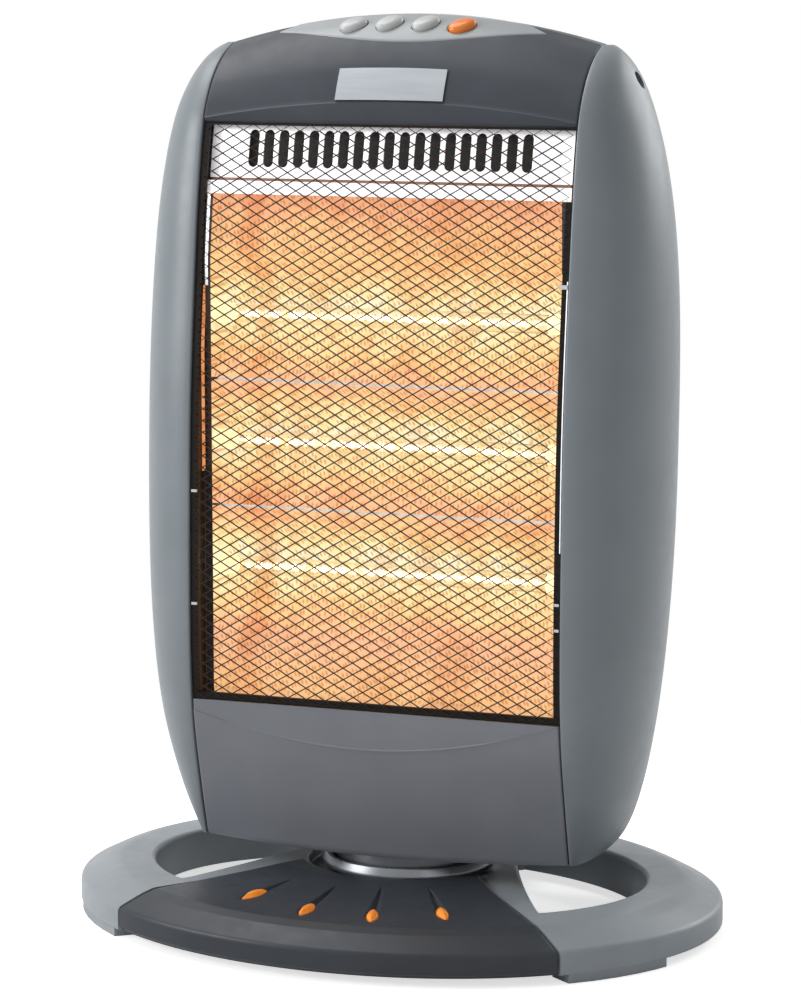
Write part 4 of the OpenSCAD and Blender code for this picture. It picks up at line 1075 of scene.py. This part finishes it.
# The black sheet behind the slots paints the shade of the space behind them.
for name, x0, x1, z0, z1, depth in (("slot_shade_sheet", -112, 112, 452, 476, 14),
                                    ("side_wall", -113.9, -111.7, 446.4, 477.5, 7.6)):
    backing = lip(name, x0, x1, z0, z1, behind_front(depth))
    fitted(backing, backing_black, "heater_body", "black_painted_steel")

# ---- Grille frame, mesh and clips ----
# A narrow black painted steel frame carries a sheet of diamond mesh, welded on in front of the
# tubes. Small bright clips along its sides grip the edge of the mesh.
black_steel = uneven("black_painted_steel", (14, 3, (10, 7, 6), (20, 15, 12)), (7, 2, 0.5, 0.6), (1.2, 0.01),
                     Specular_IOR_Level=0.2)
bar_places = [(-115.5, -111.7, 134.5, 478.5), (111.7, 115.5, 134.5, 437.0), (114.9, 115.5, 437.0, 478.5),
              (-115.5, 115.5, 477.4, 478.5), (-115.5, 115.5, 134.5, 138.3)]
bars = [lip("bar", *place, behind_front(2.0), 2.5) for place in bar_places]
fitted(joined("frame_bars", bars), black_steel, "heater_body", "black_painted_steel", "grille_frame")
mesh_half, mesh_low, mesh_high = 113.9, 135.0, 478.4
mesh_columns, mesh_rows = 19, 49
cell_w, cell_h = mesh_half / mesh_columns, (mesh_high - mesh_low) / 2 / mesh_rows
strand, strand_deep = 0.68, 0.35
mid_z = (mesh_low + mesh_high) / 2
shrink = 1 - strand / 2 / (cell_w * cell_h / math.hypot(cell_w, cell_h))
points, faces, shared = [], [], {}


def corner(x, z, deep, proud):
    # Each corner of the net is made once and shared by the cells round it
    key = (round(x, 3), round(z, 3), deep)
    if key not in shared:
        shared[key] = len(points)
        points.append((x, front_y(z) + 1.0 + deep - proud, z))
    return shared[key]


for i in range(1 - mesh_columns, mesh_columns):
    for j in range(1 - mesh_rows, mesh_rows):
        if (i + j) % 2:
            continue
        cx, cz = i * cell_w, mid_z + j * cell_h
        ring = [(cx - cell_w, cz), (cx, cz - cell_h), (cx + cell_w, cz), (cx, cz + cell_h)]
        gap = [(cx + (x - cx) * shrink, cz + (z - cz) * shrink) for x, z in ring]
        face_out = [corner(x, z, 0.0, 0.1) for x, z in ring]
        face_back = [corner(x, z, strand_deep, 0.0) for x, z in ring]
        gap_out = [corner(x, z, 0.0, 0.0) for x, z in gap]
        gap_back = [corner(x, z, strand_deep, 0.0) for x, z in gap]
        for k in range(4):
            m = (k + 1) % 4
            faces.append((face_out[k], face_out[m], gap_out[m], gap_out[k]))
            faces.append((face_back[m], face_back[k], gap_back[k], gap_back[m]))
            faces.append((gap_out[k], gap_out[m], gap_back[m], gap_back[k]))
mesh_black = uneven("mesh_black", (6, 2, (34, 20, 12), (54, 33, 20)), (3, 2, 0.4, 0.5), (0.6, 0.01),
                    Specular_IOR_Level=0.2)
grille = moulding("grille_net", points, faces, 50)
fitted(grille, mesh_black, "heater_body", "black_painted_steel", "grille_mesh")
tabs = []
tab_places = [(110.4, 115.4, 387.8, 390.2), (112.6, 115.4, 190.2, 191.8), (112.6, 115.4, 205.2, 206.8),
              (-114.6, -111.2, 192.0, 193.6), (-114.6, -111.2, 260.2, 261.8)]
for x0, x1, z0, z1 in tab_places:
    tabs.append(lip("tab", x0, x1, z0, z1, behind_front(0.3)))
    tabs.append(lip("tab_back", x0 + 0.8, x1 - 0.4, z0, z1, behind_front(0.8), 1.8))
fitted(joined("clip_tabs", tabs), bright_steel, "heater_body", "zinc_steel", "grille_clips")

# ---- Lower cover ----
# The front below the grille is a grey moulding that bellies out to the foot. A fine raised
# crease sweeps across it from corner to corner, and black strips paint the shade in its side seams.
lower_h = 89.0 - seam
lower_half = shell_x - 0.5
crease_low, crease_rise, crease_mid_x = 110.8, 19.5, -10
lower_belly, lower_sag = 10, 2.5
low_rows, high_rows = 44, 16


def lower_crease(x):
    return (crease_low + crease_rise * ((x - crease_mid_x) / 115) ** 2 - body_z) / lower_h


def lower_rows(t):
    # The rows draw together at the crease, which stands proud of the sunk band above it
    grid = []
    for i in range(low_rows + high_rows):
        row = []
        for w in edged(2 * lower_half, 96):
            x = w - lower_half
            crease = min(0.992, lower_crease(x))
            if i < low_rows:
                v = crease * (1 - (1 - i / (low_rows - 1)) ** 1.15)
                stand = 0.4 * math.exp((v - crease) * lower_h / 2.2)
            else:
                v = crease + (1 - crease) * (0.006 + 0.994 * ((i - low_rows + 1) / high_rows) ** 1.3)
                stand = -0.15 - 1.5 * min(1.0, (v - crease) * lower_h / 22)
            arch = 1 - (x / core_x) ** 2
            y = front_y(body_z + lower_h * v) - arch * (1 - v) * (lower_belly * (1 - v) + 6 * v)
            foot = rounded_off(lower_h * v, 1.0) if v < 0.5 else 0
            y += t if t else min(from_edge(w, 2 * lower_half) + foot, 1.6) - stand
            row.append((x, y, body_z + lower_h * v - lower_sag * arch * (1 - v)))
        grid.append(row)
    return grid


cover_grey = plastic("cover_grey", (119, 122, 129), (0.32, 0.4), 3)
lower_front = shell("lower_front", lower_rows(0), lower_rows(wall))
fitted(lower_front, cover_grey, "heater_body", "grey_plastic", "lower_cover")
# Black strips in the side seams paint the shade of the narrow gaps.
for x in (-115.6, 115.6):
    seam_shade = lip("seam_shade_strip", x - 0.5, x + 0.4, body_z + 1, 133, behind_front(0.9))
    fitted(seam_shade, black_plastic, "heater_body", "black_painted_steel")

# ---- Top cover ----
# A dark crowned cover closes the top from the grille over to the back. A raised crease arches
# across its front, and the lens-shaped opening on top takes the control panel.
crown = 0.37
top_h = 46.0
crown_mid_y = (front_y(body_top) + rear_y(body_top)) / 2 - 8
panel_half = 84.0
panel_front_y, panel_front_bow = 5.6, 18.4
panel_rear_y, panel_rear_bow = 44, 20
top_crease_z, top_crease_rise = 481.4, 10.4
band_rows, crown_rows = 8, 75
band_lean = 2.6


def crowned(x):
    return 1 + crown * (1 - (x / core_x) ** 2)


def crown_point(x, s, out):
    # s runs up the front to the ridge (1) and down the back (2); out is how far it stands proud
    z = cut_z + top_h * math.sin(math.pi / 2 * (s if s <= 1 else 2 - s))
    y = front_y(z) if s <= 1 else rear_y(z)
    f = 1 + out / top_h
    return x, crown_mid_y + (y - crown_mid_y) * f, cut_z + (z - cut_z) * f * crowned(x)


def top_crease(x):
    z = top_crease_z + top_crease_rise * (1 - (x / 115) ** 2)
    return math.asin(min(1.0, (z - cut_z) / crowned(x) / top_h)) * 2 / math.pi


def top_rows(t):
    # A band leans out up to the crease, and the crown starts a hair above it
    grid = []
    for i in range(band_rows + 1 + crown_rows):
        row = []
        for w in edged(2 * shell_x, 110):
            x = w - shell_x
            crease = top_crease(x)
            if i <= band_rows:
                s = crease * i / band_rows
                out = 0.45 - band_lean * (1 - i / band_rows) - rounded_off(i * 1.2, 1.0) * 0.5
            else:
                s = crease + 0.009 + (1.991 - crease) * (i - band_rows - 1) / (crown_rows - 1)
                out = 0.0
            out = -t if t else out - min(from_edge(w, 2 * shell_x), 1.0)
            row.append(crown_point(x, min(s, 2.0), out))
        grid.append(row)
    return grid


def lens_bow(x, bow):
    # How far an arc that bows out this much has fallen back at x
    r = (panel_half ** 2 + bow ** 2) / (2 * bow)
    return r - math.sqrt(max(0.0, r * r - x * x))


def panel_edge(x, v):
    # v runs from the front arc (0) to the rear arc (1) of the lens
    front = panel_front_y + lens_bow(x, panel_front_bow)
    rear_edge = panel_rear_y - lens_bow(x, panel_rear_bow)
    return front + (rear_edge - front) * v


def lens_prism(grow, z0, z1):
    reach = panel_half + grow
    across = [-math.cos(math.pi * k / 96) for k in range(97)]
    line = [(reach * u, panel_edge(panel_half * u, 0) - grow) for u in across]
    line += [(reach * u, panel_edge(panel_half * u, 1) + grow) for u in reversed(across[1:-1])]
    return prism("lens", line, z0, z1)


charcoal_plastic = plastic("charcoal_plastic", (60, 64, 71), (0.36, 0.46), 4, Specular_IOR_Level=0.3)
top = trimmed(shell("top_shell", top_rows(0), top_rows(wall)), lens_prism(0.25, 440, 600))
fitted(top, charcoal_plastic, "heater_body", "charcoal_plastic", "top_cover")

# ---- Silver plate ----
# A thin satin silver plate is stuck to the front of the top cover, just above its crease. Its
# brushed lines run level.
plate_half = 33.4
plate_from, plate_to = 0.142, 0.339
plate_out, plate_in = 1.1, 0.25


def plate_rows(out):
    return [[crown_point(plate_half * (j / 24 - 1), plate_from + (plate_to - plate_from) * i / 16, out)
             for j in range(49)] for i in range(17)]


silver = bright_metal("satin_silver", (156, 161, 165), (0.42, 0.46), (1, 1, 22), 1.2, 4)
silver_plate = shell("silver_plate", plate_rows(plate_out), plate_rows(plate_in))
fitted(silver_plate, silver, "heater_body", "polished_aluminium", "badge_plate")

# ---- Control panel ----
# The panel is a light grey lens let into the top, a hair proud of it. Four oval holes, each
# turned a little, let the push buttons through.
ridge_line_y = 35.5
button_pitch, button_s = 22.7, 0.728
button_half_l, button_half_w = 8.5, 6.0
button_slope, button_turn = 30, 35
panel_wall, panel_proud = 2.4, 0.55
button_steps = (-1.5, -0.5, 0.5, 1.5)
hole_line = [(1.045, -20), (1.045, -0.3), (1.075, 0.25), (1.14, 0.62), (1.2, 0.8), (1.2, 12)]


def top_height(x, y):
    # Height of the crowned top over a point of the plan
    span = (0.0, 1.0) if y < ridge_line_y else (1.0000001, 2.0)
    return crown_point(x, last_place(*span, lambda s: crown_point(x, s, 0)[1] < y, 40), 0)[2]


def panel_rows(t):
    grid = []
    for i in range(65):
        v = (1 - math.cos(math.pi * i / 64)) / 2
        row = []
        for j in range(129):
            x = -panel_half * math.cos(math.pi * j / 128) * 0.9995
            y = panel_edge(x, v)
            away = min(v, 1 - v) * (panel_edge(x, 1) - panel_edge(x, 0))
            row.append((x, y, top_height(x, y) + (-t if t else panel_proud - 0.9 * rounded_off(away, 0.8))))
        grid.append(row)
    return grid


def at_button(step):
    x, y, z = crown_point(step * button_pitch, button_s, 0)
    sloped = Matrix.Translation((x * mm, y * mm, z * mm)) @ Matrix.Rotation(math.radians(button_slope), 4, "X")
    return sloped @ Matrix.Rotation(math.radians(button_turn), 4, "Z")


def oval_bar(name, line):
    # Pile of like ovals, each given as (share of the size, height)
    return stacked(name, [at_height(ellipse(f * button_half_l, f * button_half_w, 72), z)
                          for f, z in line], 40)


panel = shell("panel_lens", panel_rows(0), panel_rows(panel_wall))
for step in button_steps:
    hole = oval_bar("hole", hole_line)
    hole.data.transform(at_button(step))
    trimmed(panel, hole)
panel_grey = plastic("panel_grey", (160, 164, 166), (0.3, 0.38), 3)
fitted(panel, panel_grey, "heater_body", "light_grey_plastic", "control_panel")
dressed("switch_block", black_plastic, 0.4)

# ---- Push buttons ----
# Four domed oval buttons stand in the panel, three in silver-grey plastic for the heat and an
# orange one for the swing. Each moulding has a square stem that works its switch below.
button_silver = plastic("button_silver", (196, 198, 196), (0.2, 0.28), 4, 0.8, 0.004)
button_orange = plastic("button_orange", (240, 128, 30), (0.18, 0.26), 6, 0.8, 0.004)
button_top, dome_high = 0.9, 3.1
stem_plan = [(2.5, 2.5), (-2.5, 2.5), (-2.5, -2.5), (2.5, -2.5)]
dome = [(0.97, -7), (1.0, -6.6), (1.0, button_top)]
for k in range(1, 15):
    a = math.pi / 2 * k / 14
    dome.append((max(0.004, math.cos(a) ** 0.66), button_top + dome_high * math.sin(a) ** 0.9))
for name, step in zip(("low", "medium", "high", "swing"), button_steps):
    cap = oval_bar(name + "_cap", dome)
    whole = joined(name + "_push", [cap, prism("stem", stem_plan, -16, -6.5)])
    whole.data.transform(at_button(step))
    finish, slot = button_silver, "light_grey_plastic"
    if name == "swing":
        finish, slot = button_orange, "orange_plastic"
    fitted(whole, finish, name + "_button", slot, "button_" + name)

# ---- Floor and light ----
# The heater stands on a plain white floor. Large soft lamps at the upper left, above and
# behind light it, and white walls show in its bright metal.
floor_r, floor_sides = 6000, 96
floor_shine, floor_seen = 0.26, 0.4
white_from, white_to = 0.26, 0.62
floor_plan = at_height(ellipse(floor_r, floor_r, floor_sides), -0.05)
floor = moulding("floor", floor_plan, [tuple(range(floor_sides))])


def seen_directly(tree):
    # Whether the camera sees the surface, and whether it sees it itself, in metal or in glass
    seen = node(tree, "LightPath", {})
    mirrored = worked_out(tree, "MAXIMUM", seen["Is Glossy Ray"], seen["Is Transmission Ray"])
    return seen["Is Camera Ray"], worked_out(tree, "MAXIMUM", seen["Is Camera Ray"], mirrored)


floor_white = bpy.data.materials.new("floor_white")
floor_white.use_nodes = True
tree = floor_white.node_tree
tree.nodes.remove(tree.nodes["Principled BSDF"])
to_camera, direct = seen_directly(tree)
extra = worked_out(tree, "ADD", worked_out(tree, "MULTIPLY", direct, floor_shine),
                   worked_out(tree, "MULTIPLY", to_camera, floor_seen))
matt = node(tree, "BsdfDiffuse", {"Color": (0.86, 0.86, 0.86, 1)})["BSDF"]
near = node(tree, "AddShader", {0: matt, 1: node(tree, "Emission", {"Strength": extra})["Emission"]})["Shader"]
far = node(tree, "Emission", {"Strength": 1.0})["Emission"]
where = node(tree, "TexCoord", {})["Object"]
reach = node(tree, "VectorMath", {0: where}, operation="LENGTH")["Value"]
fade = node(tree, "MapRange", {"Value": reach, "From Min": white_from, "From Max": white_to},
            interpolation_type="SMOOTHSTEP")["Result"]
share = worked_out(tree, "MULTIPLY", direct, fade)
whole_floor = node(tree, "MixShader", {"Fac": share, 1: near, 2: far})["Shader"]
tree.links.new(whole_floor, tree.nodes["Material Output"].inputs["Surface"])
floor.data.materials.append(floor_white)

world = bpy.data.worlds.new("studio")
bpy.context.scene.world = world
world.use_nodes = True
tree = world.node_tree
around = tree.nodes["Background"]
around.inputs["Color"].default_value = (0.95, 0.98, 1.0, 1)
around.inputs["Strength"].default_value = 0.24
backdrop = node(tree, "Background", {"Color": (1, 1, 1, 1), "Strength": 1.0})["Background"]
pick = {"Fac": seen_directly(tree)[1], 1: around.outputs["Background"], 2: backdrop}
tree.links.new(node(tree, "MixShader", pick)["Shader"], tree.nodes["World Output"].inputs["Surface"])


def soft_lamp(name, place, aim_z, size, power):
    lamp = bpy.data.objects.new(name, bpy.data.lights.new(name, "AREA"))
    lamp.data.size = size
    lamp.data.energy = power
    lamp.location = place
    lamp.rotation_euler = (Vector((0, 0, aim_z)) - Vector(place)).to_track_quat("-Z", "Y").to_euler()
    bpy.context.scene.collection.objects.link(lamp)


soft_lamp("left_lamp", (-2.1, -1.5, 1.15), 0.25, 1.3, 43)
soft_lamp("top_lamp", (-1.0, 0.1, 2.2), 0.2, 1.4, 24)
soft_lamp("right_lamp", (1.9, -1.6, 0.8), 0.25, 1.2, 2.5)
soft_lamp("back_lamp", (1.3, 1.7, 1.2), 0.25, 1.4, 24)
